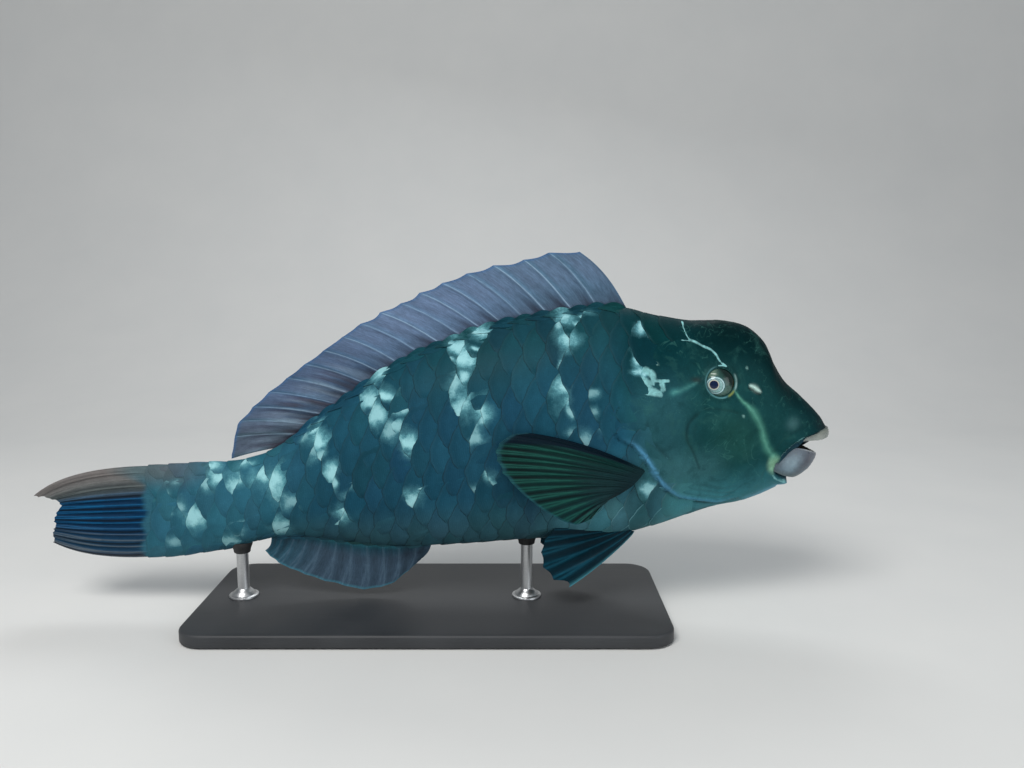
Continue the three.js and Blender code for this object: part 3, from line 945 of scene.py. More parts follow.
def ring(u, count):
    """d and side (1 on the near, right side, -1 on the far one) of a ring of vertices at u."""
    lo, hi = np.interp(u, U_AXIS, D_BELLY), np.interp(u, U_AXIS, D_BACK)
    f = np.arange(count) / count
    near = f <= 0.5
    d = np.where(near, mix(lo, hi, f * 2), mix(hi, lo, f * 2 - 1))
    return d, np.where(near, 1, -1)


def share_up(u, x, z):
    r = along(BODY, np.interp(u, U_FINE, P_FINE))
    return np.clip((z - r[..., 3]) / (r[..., 1] - r[..., 3]), 0, 1)


def snap(x, y, z, line, reach, at):
    """Moves points near a line on the flank on to it, so that its edge comes out crisp."""
    s, t, near, _w = to_line(x, z, line)
    m = (np.abs(s - at) < reach) & (t > 0.002) & (t < 0.998) & (y > 3.0) & (np.abs(s) > 1e-6)
    nx, nz = (x - near[:, 0]) / np.where(m, s, 1), (z - near[:, 1]) / np.where(m, s, 1)
    x2 = np.where(m, near[:, 0] + nx * at, x)
    z2 = np.where(m, near[:, 1] + nz * at, z)
    y2 = y.copy()
    if m.any():
        y2[m] = flank(x2[m], z2[m])
    return x2, y2, z2


def covered(x, z):
    """1 on the bare head, 0 where scales lie."""
    s, _t, _q, _w = to_line(x, z, SCALE_FRONT)
    c = smooth(-3.5, 2.5, s)
    isthmus = smooth(252, 270, x) * smooth(150, 135, z)
    return np.maximum(c, isthmus)


def skin_height(x, y, z, u, d):
    """How far the skin stands over the plain body, in mm."""
    p = np.stack([x, y, z], -1)
    cover = np.ones(x.shape)
    trunk = x < 262
    cover[trunk] = covered(x[trunk], z[trunk])
    h = -0.9 * (1 - cover) + relief(x, z)
    h += 0.32 * noise(p, 24, 1) + 0.14 * cover * noise(p, 7.5, 2) + 0.07 * cover * noise(p, 3.1, 4)
    head = x > 165
    if head.any():
        xs, zs = x[head], z[head]
        g = fine_relief(xs, zs)
        r = np.hypot(xs - EYE["x"], zs - EYE["z"])
        a = np.arctan2(zs - EYE["z"], xs - EYE["x"])
        g += orbit_lift(r, a) * (r < 34)
        g += 0.25 * np.sin(a * 7 + 1.5) * np.exp(-(((r - 24) / 4.5) ** 2)) * smooth(0.3, -0.8, np.cos(a))
        # nostril: a low flap with a slit under it
        s, t, _q, _w = to_line(xs, zs, NOSTRIL)
        ends = smooth(0, 0.2, t) * (1 - smooth(0.8, 1, t))
        g += ends * (1.0 * np.exp(-(((s - 0.6) / 1.5) ** 2)) - 1.3 * np.exp(-(((s + 1.9) / 1.1) ** 2)))
        # faint scales of the nape, gill cover and cheek
        top, edge = scale_height(u[head], d[head])
        where = cover[head] * (1 - smooth(286, 306, xs)) * smooth(126, 140, zs) * smooth(19, 27, r)
        g += where * (0.42 * (top - 0.55) - 0.14 * np.exp(-((edge / 1.2) ** 2)))
        h[head] += g
    mouth = x > 318
    if mouth.any():
        xs, zs = x[mouth], z[mouth]
        s1, t1, _q, _w = to_line(xs, zs, LIP_TOP)
        s2, t2, _q, _w = to_line(xs, zs, LIP_LOW)
        into = inside(xs, zs, MOUTH)
        d1, d2 = np.abs(s1), np.abs(s2)
        out = ~into
        tip = 1 - smooth(372, 392, xs)
        g = out * tip * (1.5 * np.exp(-((d1 / 3.6) ** 2)) - 0.55 * np.exp(-(((d1 - 8.5) / 2.0) ** 2)))
        g -= 1.6 * smooth(388, 398, xs)
        g += out * (1.6 * np.exp(-(((d2 - 1.5) / 4.0) ** 2)) - 0.9 * np.exp(-(((d2 - 8.0) / 1.4) ** 2)) * smooth(330, 340, xs))
        g += out * 0.18 * np.sin(zs * 1.9 + xs * 0.7) * np.exp(-((np.minimum(d1, d2) / 3) ** 2))
        g += 3.6 * np.exp(-(((xs - 379) / 9) ** 2) - ((zs - 143) / 6) ** 2)
        # fold that runs back from the corner of the mouth
        fold, tf, _q, _w = to_line(xs, zs, curve([(338, 163), (331, 158), (326, 149), (325, 139)], 1.5))
        g -= 0.9 * np.exp(-((fold / 1.3) ** 2)) * (1 - smooth(0.75, 1, tf)) * out
        h[mouth] += g
    return h


def mouth_pull(x, z):
    """How far points inside the lips sink towards the middle of the mouth."""
    k = np.zeros(x.shape)
    m = (x > 325) & inside(x, z, MOUTH)
    if m.any():
        s1 = np.abs(to_line(x[m], z[m], LIP_TOP)[0])
        s2 = np.abs(to_line(x[m], z[m], LIP_LOW)[0])
        start = 4.6 * smooth(374, 362, x[m]) * smooth(336, 342, x[m])
        k[m] = 0.05 * smooth(-0.2, 1.2, s1) + 0.55 * smooth(start - 0.6, start + 6.5, s1)
        k[m] *= smooth(-0.6, 5.0, s2)
    return k


def place_skin(u, d, side):
    q, n = surf(u, d)
    x, y, z = q[:, 0].copy(), np.abs(q[:, 1]), q[:, 2].copy()
    head = x > 165
    hx, hy, hz = x[head], y[head], z[head]
    hx, hy, hz = snap(hx, hy, hz, GILL, 0.8, 0.2)
    hx, hy, hz = snap(hx, hy, hz, LIP_TOP, 0.46, 0.0)
    hx, hy, hz = snap(hx, hy, hz, LIP_LOW, 0.46, 0.0)
    x[head], y[head], z[head] = hx, hy, hz
    h = skin_height(x, y, z, u, d)
    p = np.stack([x + n[:, 0] * h, y + n[:, 1] * h, z + n[:, 2] * h], -1)
    k = mouth_pull(x, z)[:, None]
    p = p + (LIP_PULL - p) * k
    p[:, 1] *= -side
    return p, (x, z), k[:, 0]


def lay(col, mask, over):
    return mix(col, over, np.clip(mask, 0, 1)[..., None])


def ring_band(r, at, half):
    return np.exp(-(((r - at) / half) ** 2))


def gill_light(x, z):
    """Strength of the light line along the free edge of the gill cover."""
    s, t, _q, _w = to_line(x, z, GILL)
    return np.exp(-(((s - 2.9) / 1.8) ** 2)) * gill_fade(t, x) * smooth(194, 178, z) * mix(0.36, 0.85, smooth(126, 152, z))


def paint_skin(x, z, u, d, side, p, k):
    """Colour and marks of the skin at its vertices, with painted shade in creases, under the gill cover, in the mouth
    and under the lower beak, and a painted highlight on the snout.
    """
    h = share_up(u, x, z)
    col = base_colour(x, z, h)
    warp = warp_of(p, 1)
    near = side > 0
    pale, pale_tone = np.zeros(x.shape), np.zeros(x.shape)
    for s in (1, -1):
        m = near if s > 0 else ~near
        m = m & (x < 240)
        pale[m], pale_tone[m] = ellipses(x[m], z[m], warp_of(p[m], s))
    stripe = np.zeros(x.shape)
    tone = np.full(x.shape, 0.62)
    crease_shade = np.zeros(x.shape)
    m = x > 165
    wob = 0.35 * warp[m]
    xs, zs = x[m] + wob[:, 0], z[m] + wob[:, 1]
    st = strokes(xs, zs, STRIPES[1:4])
    sq = strokes(xs, zs, SQUIGGLE)
    # the light line of the lip and of the chin
    lip = curve([(341, 167.2), (346.2, 172.9), (351, 177.9), (358, 182.2), (366, 186.1), (376, 189.4), (392, 192)], 0.8)
    chin = curve([(335.4, 150), (339.0, 146.0), (345.5, 142.6), (354, 139.0)], 0.8)
    s1 = to_line(x[m], z[m], lip)[0]
    s2 = to_line(x[m], z[m], chin)[0]
    fade = 1 - smooth(362, 374, x[m])
    st = np.maximum(st, np.clip(1.5 - np.abs(s1) / 0.9, 0, 1) * 0.8 * fade)
    st = np.maximum(st, np.clip(1.5 - np.abs(s2) / 1.3, 0, 1) * 0.8)
    stripe[m] = np.maximum(st, sq)
    tone[m] = np.where(sq > st, 0.8, 0.82)
    xm, zm = x[m], z[m]
    c = col[m]
    # broad soft stripes behind the eye and down the cheek
    for line, amount, over, blur in (
        (STRIPES[0], 0.55, srgb(74, 146, 146), 1.5),
        (STRIPES[4], 0.78, srgb(84, 152, 132), 1.35),
    ):
        sc, tc, _q, wc = to_line(xs, zs, curve(line, 1.5))
        patchy = 0.75 + 0.35 * noise(p[m], 9, 41)
        c = lay(c, np.exp(-np.abs(sc / (wc * 0.78 * blur)) ** 2.2) * amount * patchy, over)
        c = lay(c, np.exp(-((sc / (wc * 0.35)) ** 2)) * amount * 0.35 * patchy, srgb(130, 196, 178))
    # gill cover's edge: light margin, and painted shade behind it, where the cover overhangs the body
    s, t, _q, _w = to_line(xm, zm, GILL)
    f = gill_fade(t, xm)
    c = lay(c, gill_light(xm, zm), srgb(84, 146, 184))
    dk = smooth(-5.5, -0.6, s) * (s < 0.15) * f * 0.95
    # painted shade along the creases of the preopercle, gill cover and cheek
    for line, w, a in ((PREOP, 1.2, 0.5), (OPERCLE_LINE, 1.8, 0.35), (CHEEK_LINE, 1.3, 0.3)):
        s, t, _q, _w = to_line(xm, zm, line)
        dk = np.maximum(dk, a * np.exp(-((s / w) ** 2)) * smooth(0, 0.15, t) * (1 - smooth(0.85, 1, t)))
    # nostril: a pale flap, and painted shade in the slit under it
    s, t, _q, _w = to_line(xm, zm, NOSTRIL)
    ends = smooth(0, 0.12, t) * (1 - smooth(0.88, 1, t))
    c = lay(c, ends * np.exp(-(((s - 0.4) / (0.5 + 1.9 * np.sin(PI * np.clip(t, 0, 1)) ** 0.8)) ** 2)) * 1.1, srgb(176, 208, 200))
    dk = np.maximum(dk, ends * 0.95 * np.exp(-(((s + 2.0) / 1.2) ** 2)))
    # round the eye
    r = np.hypot(xm - EYE["x"], zm - EYE["z"])
    a = np.degrees(np.arctan2(zm - EYE["z"], xm - EYE["x"])) % 360
    back = smooth(95, 130, a) * (1 - smooth(280, 305, a))
    c = lay(c, ring_band(r, 14.6, 0.7) * back * 0.7, srgb(104, 158, 166))
    front = np.maximum(1 - smooth(20, 34, a), smooth(325, 340, a))
    c = lay(c, ring_band(r, 15.2, 0.9) * front * 0.8, srgb(150, 186, 184))
    low = smooth(292, 305, a) * (1 - smooth(322, 334, a))
    c = lay(c, ring_band(r, 14.9, 1.0) * low * 0.75, srgb(138, 146, 74))
    c = lay(c, np.exp(-(((xm - 256) / 4.6) ** 2) - ((zm - 245) / 2.6) ** 2) * 0.6, srgb(52, 50, 46))
    c = lay(c, smooth(13.7, 13.3, r), srgb(30, 62, 62))
    c = lay(c, smooth(25, 15, r) * 0.35 * smooth(300, 200, a), srgb(26, 52, 52))
    # snout and lips
    c = lay(c, smooth(15, 2, np.hypot(xm - 391, zm - 196)) * 0.6, srgb(30, 34, 38))
    # painted highlight: a soft pale patch on the upper snout
    c = lay(c, np.exp(-((np.hypot((xm - 353.5) / 1.2, zm - 200) / 5.5) ** 2)) * 0.34, srgb(96, 138, 142))
    c = lay(c, smooth(10.0, 2.0, np.hypot(xm - 336.0, (zm - 160.5) / 1.25)) * 0.95, srgb(132, 178, 148))
    chin_band = smooth(0.075, 0.02, h[m]) * smooth(306, 322, xm) * smooth(364, 352, xm)
    c = lay(c, chin_band * 0.75, srgb(112, 168, 190))
    for qx, qz, _w in DOTS:
        c = lay(c, smooth(1.9, 0.5, np.hypot(xm - qx, zm - qz)) * 0.5, srgb(150, 200, 194))
    c = lay(c, smooth(2.6, 1.2, np.hypot(xm - 212.6, zm - 275.7)) * 0.8, srgb(18, 30, 32))
    # painted shadow in the groove under the lower beak
    groove = np.abs(to_line(xm, zm, curve([(339, 151.5), (344.5, 148.0), (356, 143.4), (372, 140.2)], 1))[0])
    c = lay(c, np.exp(-((groove / 1.7) ** 2)) * 0.8 * (xm > 333), srgb(58, 70, 52))
    # inside the lips: a dark blue-grey rim of membrane, then painted shade, near black, deeper in the mouth
    kk = k[m]
    c = lay(c, smooth(0.0, 0.05, kk) * 0.9, srgb(34, 62, 78))
    c = lay(c, smooth(0.08, 0.36, kk), srgb(16, 22, 26))
    col[m] = c
    crease_shade[m] = dk
    return dict(ground=col, pale=pale, pale_tone=pale_tone, stripe=stripe, stripe_tone=tone, crease_shade=crease_shade)


def unwrap(u, d, side):
    """OFBake: the skin unrolled along the middle line, near side below, far side above."""
    return np.stack([(u + 8) / 728, np.where(side > 0, 0.252, 0.752) + d / 600], -1)


def eye_frame():
    """Centre of the orbit on the flank, outward axis and two cross axes, on the near side with y > 0."""
    ex, ez = EYE["x"], EYE["z"]
    y0 = float(flank(np.array([ex]), np.array([ez]))[0])
    e = 1.0
    gx = float((flank(np.array([ex + e]), np.array([ez])) - flank(np.array([ex - e]), np.array([ez])))[0]) / (2 * e)
    gz = float((flank(np.array([ex]), np.array([ez + e])) - flank(np.array([ex]), np.array([ez - e])))[0]) / (2 * e)
    n = np.array([-gx, 1.0, -gz])
    n /= np.linalg.norm(n)
    axis = n * 0.72 + np.array([0, 1.0, 0]) * 0.28
    axis /= np.linalg.norm(axis)
    across = np.array([1.0, 0, 0]) - axis * axis[0]
    across /= np.linalg.norm(across)
    up = np.cross(across, axis)
    if up[2] < 0:
        up = -up
    return np.array([ex, y0, ez]), axis, across, up


EYE_AT, EYE_AXIS, EYE_X, EYE_Z = eye_frame()


def build_skin(material):
    us = stations()
    split = int(np.searchsorted(us, U_SPLIT - 1e-6))
    U, D, S, starts = [], [], [], []
    total = 0
    for i, u in enumerate(us):
        count = RING_COARSE if i < split else RING_FINE
        d, side = ring(u, count)
        U.append(np.full(count, u))
        D.append(d)
        S.append(side)
        starts.append(total)
        total += count
    U, D, S = np.concatenate(U), np.concatenate(D), np.concatenate(S)
    P, (X, Z), K = place_skin(U, D, S)
    quads, tris = [], []
    quads.append(grid_quads(split, RING_COARSE, 0, wrap=True, flip=True))
    quads.append(grid_quads(len(us) - split, RING_FINE, starts[split], wrap=True, flip=True))
    quads = np.concatenate(quads)
    a0, b0 = starts[split - 1], starts[split]
    for j in range(RING_COARSE):
        a, a2 = a0 + j, a0 + (j + 1) % RING_COARSE
        b, b1, b2 = b0 + 2 * j, b0 + 2 * j + 1, b0 + (2 * j + 2) % RING_FINE
        tris += [(a, b, b1), (a, b1, a2), (a2, b1, b2)]
    attrs = paint_skin(X, Z, U, D, S, P, K)
    UVV = np.stack([U, D], -1)
    # caps of the tail end and the snout
    verts = [P]
    extra = {k: [v] for k, v in attrs.items()}
    uvs, sides = [UVV], [S.astype(float)]
    n = total
    last0 = starts[-1]
    for first, count, point, uu in (
        (0, RING_COARSE, P[:RING_COARSE].mean(0), -4.0),
        (last0, RING_FINE, P[last0:].mean(0) + (0.2, 0, 0), U_END + 3.0),
    ):
        verts.append(point[None])
        uvs.append(np.array([[uu, 0.0]]))
        sides.append(np.array([0.0]))
        for k, v in attrs.items():
            extra[k].append(v[first : first + 1])
        for j in range(count):
            a, b = first + j, first + (j + 1) % count
            tris.append((a, b, n) if first == 0 else (b, a, n))
        n += 1
    # orbits: cut the grid round each eye and set in a ring-shaped patch
    r = np.hypot(X - EYE["x"], Z - EYE["z"])
    steps = 96
    radii = [R_PATCH, 16.6, 16.0, 15.5, 15.05, 14.65, 14.3, 14.0, 13.75, 13.55, 13.4, 13.3, 13.25, 13.2, 13.1, 12.8, 11.5, 8.5, 4.5]
    drops = [None] * 9 + [1.05, 0.7, 0.25, -0.4, -1.3, -2.6, -4.4, -6.5, -8.2, -9.0]
    n = total + 2
    for side in (1, -1):
        gone = (r < R_CUT) & (S == side)
        gone_all = np.zeros(n + 10000, bool)
        gone_all[:total] = gone
        cut = gone_all[quads].any(1)
        removed = quads[cut]
        quads = quads[~cut]
        # edges of removed faces that kept faces still use
        edges = {}
        for f in removed:
            for q in range(4):
                edges[(int(f[q]), int(f[(q + 1) % 4]))] = True
        loop = {a: b for (a, b) in edges if (b, a) not in edges}
        first = next(iter(loop))
        order, at = [first], loop[first]
        while at != first:
            order.append(at)
            at = loop[at]
        order = np.array(order)
        ang = np.unwrap(np.arctan2(Z[order] - EYE["z"], X[order] - EYE["x"]))
        if ang[-1] < ang[0]:
            order, ang = order[::-1], ang[::-1]
        k0 = int(np.argmin(np.abs(np.angle(np.exp(1j * ang)))))
        order = np.roll(order, -k0)
        ang = np.unwrap(np.arctan2(Z[order] - EYE["z"], X[order] - EYE["x"]))
        ang = np.maximum.accumulate(ang)
        base = n
        th = np.arange(steps) / steps * 2 * PI
        px, pz, pr, pd = [], [], [], []
        for rad, drop in zip(radii, drops):
            px.append(EYE["x"] + rad * np.cos(th))
            pz.append(EYE["z"] + rad * np.sin(th))
            pr.append(np.full(steps, rad))
            pd.append(np.full(steps, np.nan if drop is None else drop))
        px, pz, pr, pd = [np.concatenate(v) for v in (px, pz, pr, pd)]
        pu, pdd = skin_coords(px, pz)
        q, nn = surf(pu, pdd)
        q = np.stack([px, flank(px, pz), pz], -1)
        hh = skin_height(px, q[:, 1], pz, pu, pdd)
        outer = q + nn * hh[:, None]
        flat = EYE_AT + EYE_X * (px - EYE["x"])[:, None] + EYE_Z * (pz - EYE["z"])[:, None]
        level = relief(np.array([EYE["x"]]), np.array([EYE["z"]]))[0]
        inner = flat + EYE_AXIS * (np.nan_to_num(pd) + level)[:, None]
        w = np.where(np.isnan(pd), 0.0, smooth(13.62, 13.2, pr))
        rim = q + nn * (np.nan_to_num(pd) + level)[:, None]
        pp = np.where(np.isnan(pd)[:, None], outer, mix(rim, inner, w[:, None]))
        pp[:, 1] *= -side
        at_ = paint_skin(px, pz, pu, pdd, np.full(px.shape, side), pp, np.zeros(px.shape))
        verts.append(pp)
        uvs.append(np.stack([pu, pdd], -1))
        sides.append(np.full(len(px), float(side)))
        for k, v in at_.items():
            extra[k].append(v)
        g = grid_quads(len(radii), steps, base, wrap=True, flip=side < 0)
        centre = base + len(px)
        cpos = EYE_AT + EYE_AXIS * (-9.0)
        verts.append((cpos * np.array([1, -side, 1]))[None])
        cu, cd = skin_coords(np.array([EYE["x"]]), np.array([EYE["z"]]))
        uvs.append(np.stack([cu, cd], -1))
        sides.append(np.array([float(side)]))
        for k, v in at_.items():
            extra[k].append(v[-1:])
        inner0 = base + (len(radii) - 1) * steps
        fans = [(inner0 + j, inner0 + (j + 1) % steps, centre) for j in range(steps)]
        # zip the loop of the hole to the outer ring
        i = j = 0
        zipped = []
        while i < len(order) or j < steps:
            a, b = int(order[i % len(order)]), base + j % steps
            next_a = ang[i + 1] if i + 1 < len(order) else ang[0] + 2 * PI
            next_b = th[j + 1] if j + 1 < steps else th[0] + 2 * PI
            if j >= steps or (i < len(order) and next_a <= next_b):
                zipped.append((a, int(order[(i + 1) % len(order)]), b))
                i += 1
            else:
                zipped.append((a, base + (j + 1) % steps, b))
                j += 1
        if side < 0:
            fans = [f[::-1] for f in fans]
            zipped = [f[::-1] for f in zipped]
        quads = np.concatenate([quads, g])
        tris += fans
        tris += zipped
        n = centre + 1
    V = np.concatenate(verts)
    UVV = np.concatenate(uvs)
    attrs = {k: np.concatenate(v) for k, v in extra.items()}
    tris = np.array(tris)

    def corner_uv(faces):
        # a face on the ridge or belly belongs to the side that its middle is on
        mid = V[faces][:, :, 1].mean(1)
        side = np.where(mid < 0, 1, -1)
        u, d = UVV[faces][:, :, 0], UVV[faces][:, :, 1]
        return unwrap(u, d, np.repeat(side[:, None], faces.shape[1], 1)).reshape(-1, 2)

    uv = np.concatenate([corner_uv(quads), corner_uv(tris)])
    o = make("skin", V, quads, tris, uv, attrs, material)
    print("skin", len(V), "verts", len(quads) * 2 + len(tris), "tris")
    return o


# ------------------------------------------------------------------------------ eyes


def eye_material():
    m, nt, bsdf = nodes_of("eye_gloss")
    here = place(nt)
    r, ri = attr(nt, "from_pupil"), attr(nt, "from_iris")
    mid = grain(nt, here, 380, 4, 0.65)
    fine = grain(nt, here, 1900, 3, 0.6)
    wob = maths(nt, "MULTIPLY_ADD", maths(nt, "SUBTRACT", mid, 0.5), 0.9, r)
    wobi = maths(nt, "MULTIPLY_ADD", maths(nt, "SUBTRACT", mid, 0.5), 1.2, ri)
    ball = attr(nt, "ground", True)
    ball = blend(nt, maths(nt, "MULTIPLY", remap(nt, mid, 0.45, 0.75), 0.5), ball, rgb(srgb(20, 40, 36)))
    iris = blend(nt, remap(nt, fine, 0.3, 0.7), rgb(srgb(92, 138, 138)), rgb(srgb(150, 190, 188)))
    iris = blend(nt, remap(nt, wobi, 6.3, 6.6), iris, rgb(srgb(96, 116, 122)))
    iris = blend(nt, remap(nt, wobi, 6.9, 7.2), iris, rgb(srgb(168, 204, 206)))
    iris = blend(nt, remap(nt, wob, 5.9, 5.6), iris, rgb(srgb(112, 128, 134)))
    iris = blend(nt, remap(nt, wob, 5.2, 4.9), iris, rgb(srgb(160, 190, 186)))
    col = blend(nt, remap(nt, wobi, 7.9, 8.3), iris, rgb(srgb(52, 88, 92)))
    col = blend(nt, remap(nt, wobi, 8.5, 9.4), col, ball)
    col = blend(nt, remap(nt, wob, 4.6, 4.4), col, rgb(srgb(176, 168, 150)))
    col = blend(nt, remap(nt, wob, 4.05, 3.8), col, rgb(srgb(2, 24, 58)))
    put(nt, bsdf.inputs["Base Color"], col)
    put(nt, bsdf.inputs["Roughness"], remap(nt, mid, 0.3, 0.7, 0.12, 0.22, "LINEAR"))
    bsdf.inputs["Specular IOR Level"].default_value = 0.25
    bsdf.inputs["Coat Weight"].default_value = 0.28
    bsdf.inputs["Coat Roughness"].default_value = 0.06
    put(nt, bsdf.inputs["Normal"], bump(nt, fine, 0.05, 0.0002))
    return m


def build_eye(name, side, material):
    level = relief(np.array([EYE["x"]]), np.array([EYE["z"]]))[0]
    centre = EYE_AT + EYE_AXIS * (level - EYE["sunk"])
    # the pole of the net of rings lies at the pupil
    tip = np.array([IRIS[0] - EYE["x"], 0, IRIS[1] - EYE["z"]])
    a, b = tip @ EYE_X, tip @ EYE_Z
    R, DEEP = EYE["radius"], EYE["depth"]
    pole = np.array([a / R, math.sqrt(max(0.05, 1 - (a * a + b * b) / R**2)), b / R])
    pole /= np.linalg.norm(pole)
    e1 = np.cross([0, 0, 1.0], pole)
    e1 /= np.linalg.norm(e1)
    e2 = np.cross(pole, e1)
    rings, steps = 56, 96
    lat = np.concatenate([np.linspace(0, 1.35, 45), np.linspace(1.35, PI, 13)[1:]])[1:-1]
    th = np.arange(steps) / steps * 2 * PI
    L, T = np.meshgrid(lat, th, indexing="ij")
    unit = (
        pole * np.cos(L)[..., None]
        + e1 * (np.sin(L) * np.cos(T))[..., None]
        + e2 * (np.sin(L) * np.sin(T))[..., None]
    ).reshape(-1, 3)
    unit = np.concatenate([unit, pole[None], -pole[None]])

    def at(v):
        p = v * np.array([R, DEEP, R])
        w = centre + EYE_X * p[:, :1] + EYE_AXIS * p[:, 1:2] + EYE_Z * p[:, 2:3]
        rp = np.hypot(w[:, 0] - IRIS[0], w[:, 2] - IRIS[1])
        front = (v @ pole) > 0
        # the clear dome over pupil and iris, with a faint step at its edge
        dome = np.where(front, 0.75 * np.maximum(0, 1 - (rp / 9.4) ** 2) - 0.16 * np.exp(-(((rp - 9.6) / 0.5) ** 2)), 0)
        w = w + EYE_AXIS * dome[:, None]
        rp = np.where(front, rp, 30)
        return w, rp

    P, rp = at(unit)
    ex, ez = P[:, 0] - EYE["x"], P[:, 2] - EYE["z"]
    ri = np.hypot((P[:, 0] - 273.7) / 1.03, P[:, 2] - 240.1)
    ri = np.where(rp > 29, 30, ri)
    ball = mix(srgb(38, 72, 66), srgb(74, 106, 98), smooth(2, -8, ez)[:, None])
    ball = mix(ball, srgb(112, 136, 120), (smooth(-1, -8, ex) * smooth(2, 8, ez) * 0.8)[:, None])
    # painted shade: a dark crescent on the upper front of the ball, under the orbit's rim
    orbit_shade = smooth(3.5, 8.0, ex * 0.82 + ez * 0.57)
    ball = mix(ball, srgb(2, 24, 22), (orbit_shade * 0.95)[:, None])
    ball = mix(ball, srgb(62, 58, 28), (smooth(10.6, 12.8, ex) * smooth(5, -2, ez) * 0.8)[:, None])
    n = len(lat)
    quads = grid_quads(n, steps, 0, wrap=True)
    top, bottom = n * steps, n * steps + 1
    tris = [((j + 1) % steps, j, top) for j in range(steps)]
    tris += [((n - 1) * steps + j, (n - 1) * steps + (j + 1) % steps, bottom) for j in range(steps)]
    tris = np.array(tris)
    # discs of the two halves in the map
    ang = np.concatenate([T.ravel(), [0, 0]])
    lr = np.concatenate([L.ravel(), [0, PI]])
    uvp = np.stack([0.5 + np.cos(ang) * lr / PI * 0.49, 0.5 + np.sin(ang) * lr / PI * 0.49], -1)
    P = P.copy()
    P[:, 1] *= -side
    a_, b_, c_ = P[quads[0][0]], P[quads[0][1]], P[quads[0][2]]
    c0 = centre * np.array([1, -side, 1])
    if np.dot(np.cross(b_ - a_, c_ - a_), a_ - c0) < 0:
        quads = quads[:, ::-1]
    a_, b_, c_ = P[tris[0][0]], P[tris[0][1]], P[tris[0][2]]
    if np.dot(np.cross(b_ - a_, c_ - a_), a_ - c0) < 0:
        tris = tris[:, ::-1]
    # the pole's corners of the last fan: its centre maps to the rim of the disc, corner by corner
    tuv = uvp[tris].copy()
    for f in range(steps, 2 * steps):
        k = int(np.argmax(tris[f] == bottom))
        others = [q for q in range(3) if q != k]
        mid = tuv[f, others].mean(0) - 0.5
        tuv[f, k] = 0.5 + mid / max(np.linalg.norm(mid), 1e-6) * 0.497
    uv = np.concatenate([uvp[quads].reshape(-1, 2), tuv.reshape(-1, 2)])
    o = make(name, P, quads, tris, uv, dict(from_pupil=rp, from_iris=ri, ground=ball), material)
    return o


# ------------------------------------------------------------------------------ beak plates


def beak_material():
    m, nt, bsdf = nodes_of("beak_enamel")
    here = place(nt)
    ground = attr(nt, "ground", True)
    mid = grain(nt, here, 210, 4, 0.6)
    fine = grain(nt, here, 1300, 3, 0.6)
    streak = grain(nt, place(nt, (1.0, 1.0, 0.25)), 520, 3, 0.55)
    tone = maths(nt, "MULTIPLY_ADD", mid, 0.8, 0.6)
    tone = maths(nt, "MULTIPLY", tone, maths(nt, "MULTIPLY_ADD", streak, 0.3, 0.85))
    grey = nt.nodes.new("ShaderNodeCombineColor")
    for k in range(3):
        nt.links.new(tone, grey.inputs[k])
    col = blend(nt, 1.0, ground, grey.outputs[0], "MULTIPLY")
    col = blend(nt, maths(nt, "MULTIPLY", remap(nt, mid, 0.58, 0.75), 0.3), col, rgb(srgb(120, 112, 92)))
    put(nt, bsdf.inputs["Base Color"], col)
    put(nt, bsdf.inputs["Roughness"], remap(nt, mid, 0.3, 0.7, 0.26, 0.42, "LINEAR"))
    bsdf.inputs["Specular IOR Level"].default_value = 0.5
    bsdf.inputs["Subsurface Weight"].default_value = 0.06
    bsdf.inputs["Subsurface Radius"].default_value = (0.003, 0.002, 0.0015)
    bsdf.inputs["Subsurface Scale"].default_value = 0.5
    b = bump(nt, streak, 0.22, 0.0004)
    b = bump(nt, fine, 0.12, 0.0002, b)
    put(nt, bsdf.inputs["Normal"], b)
    return m


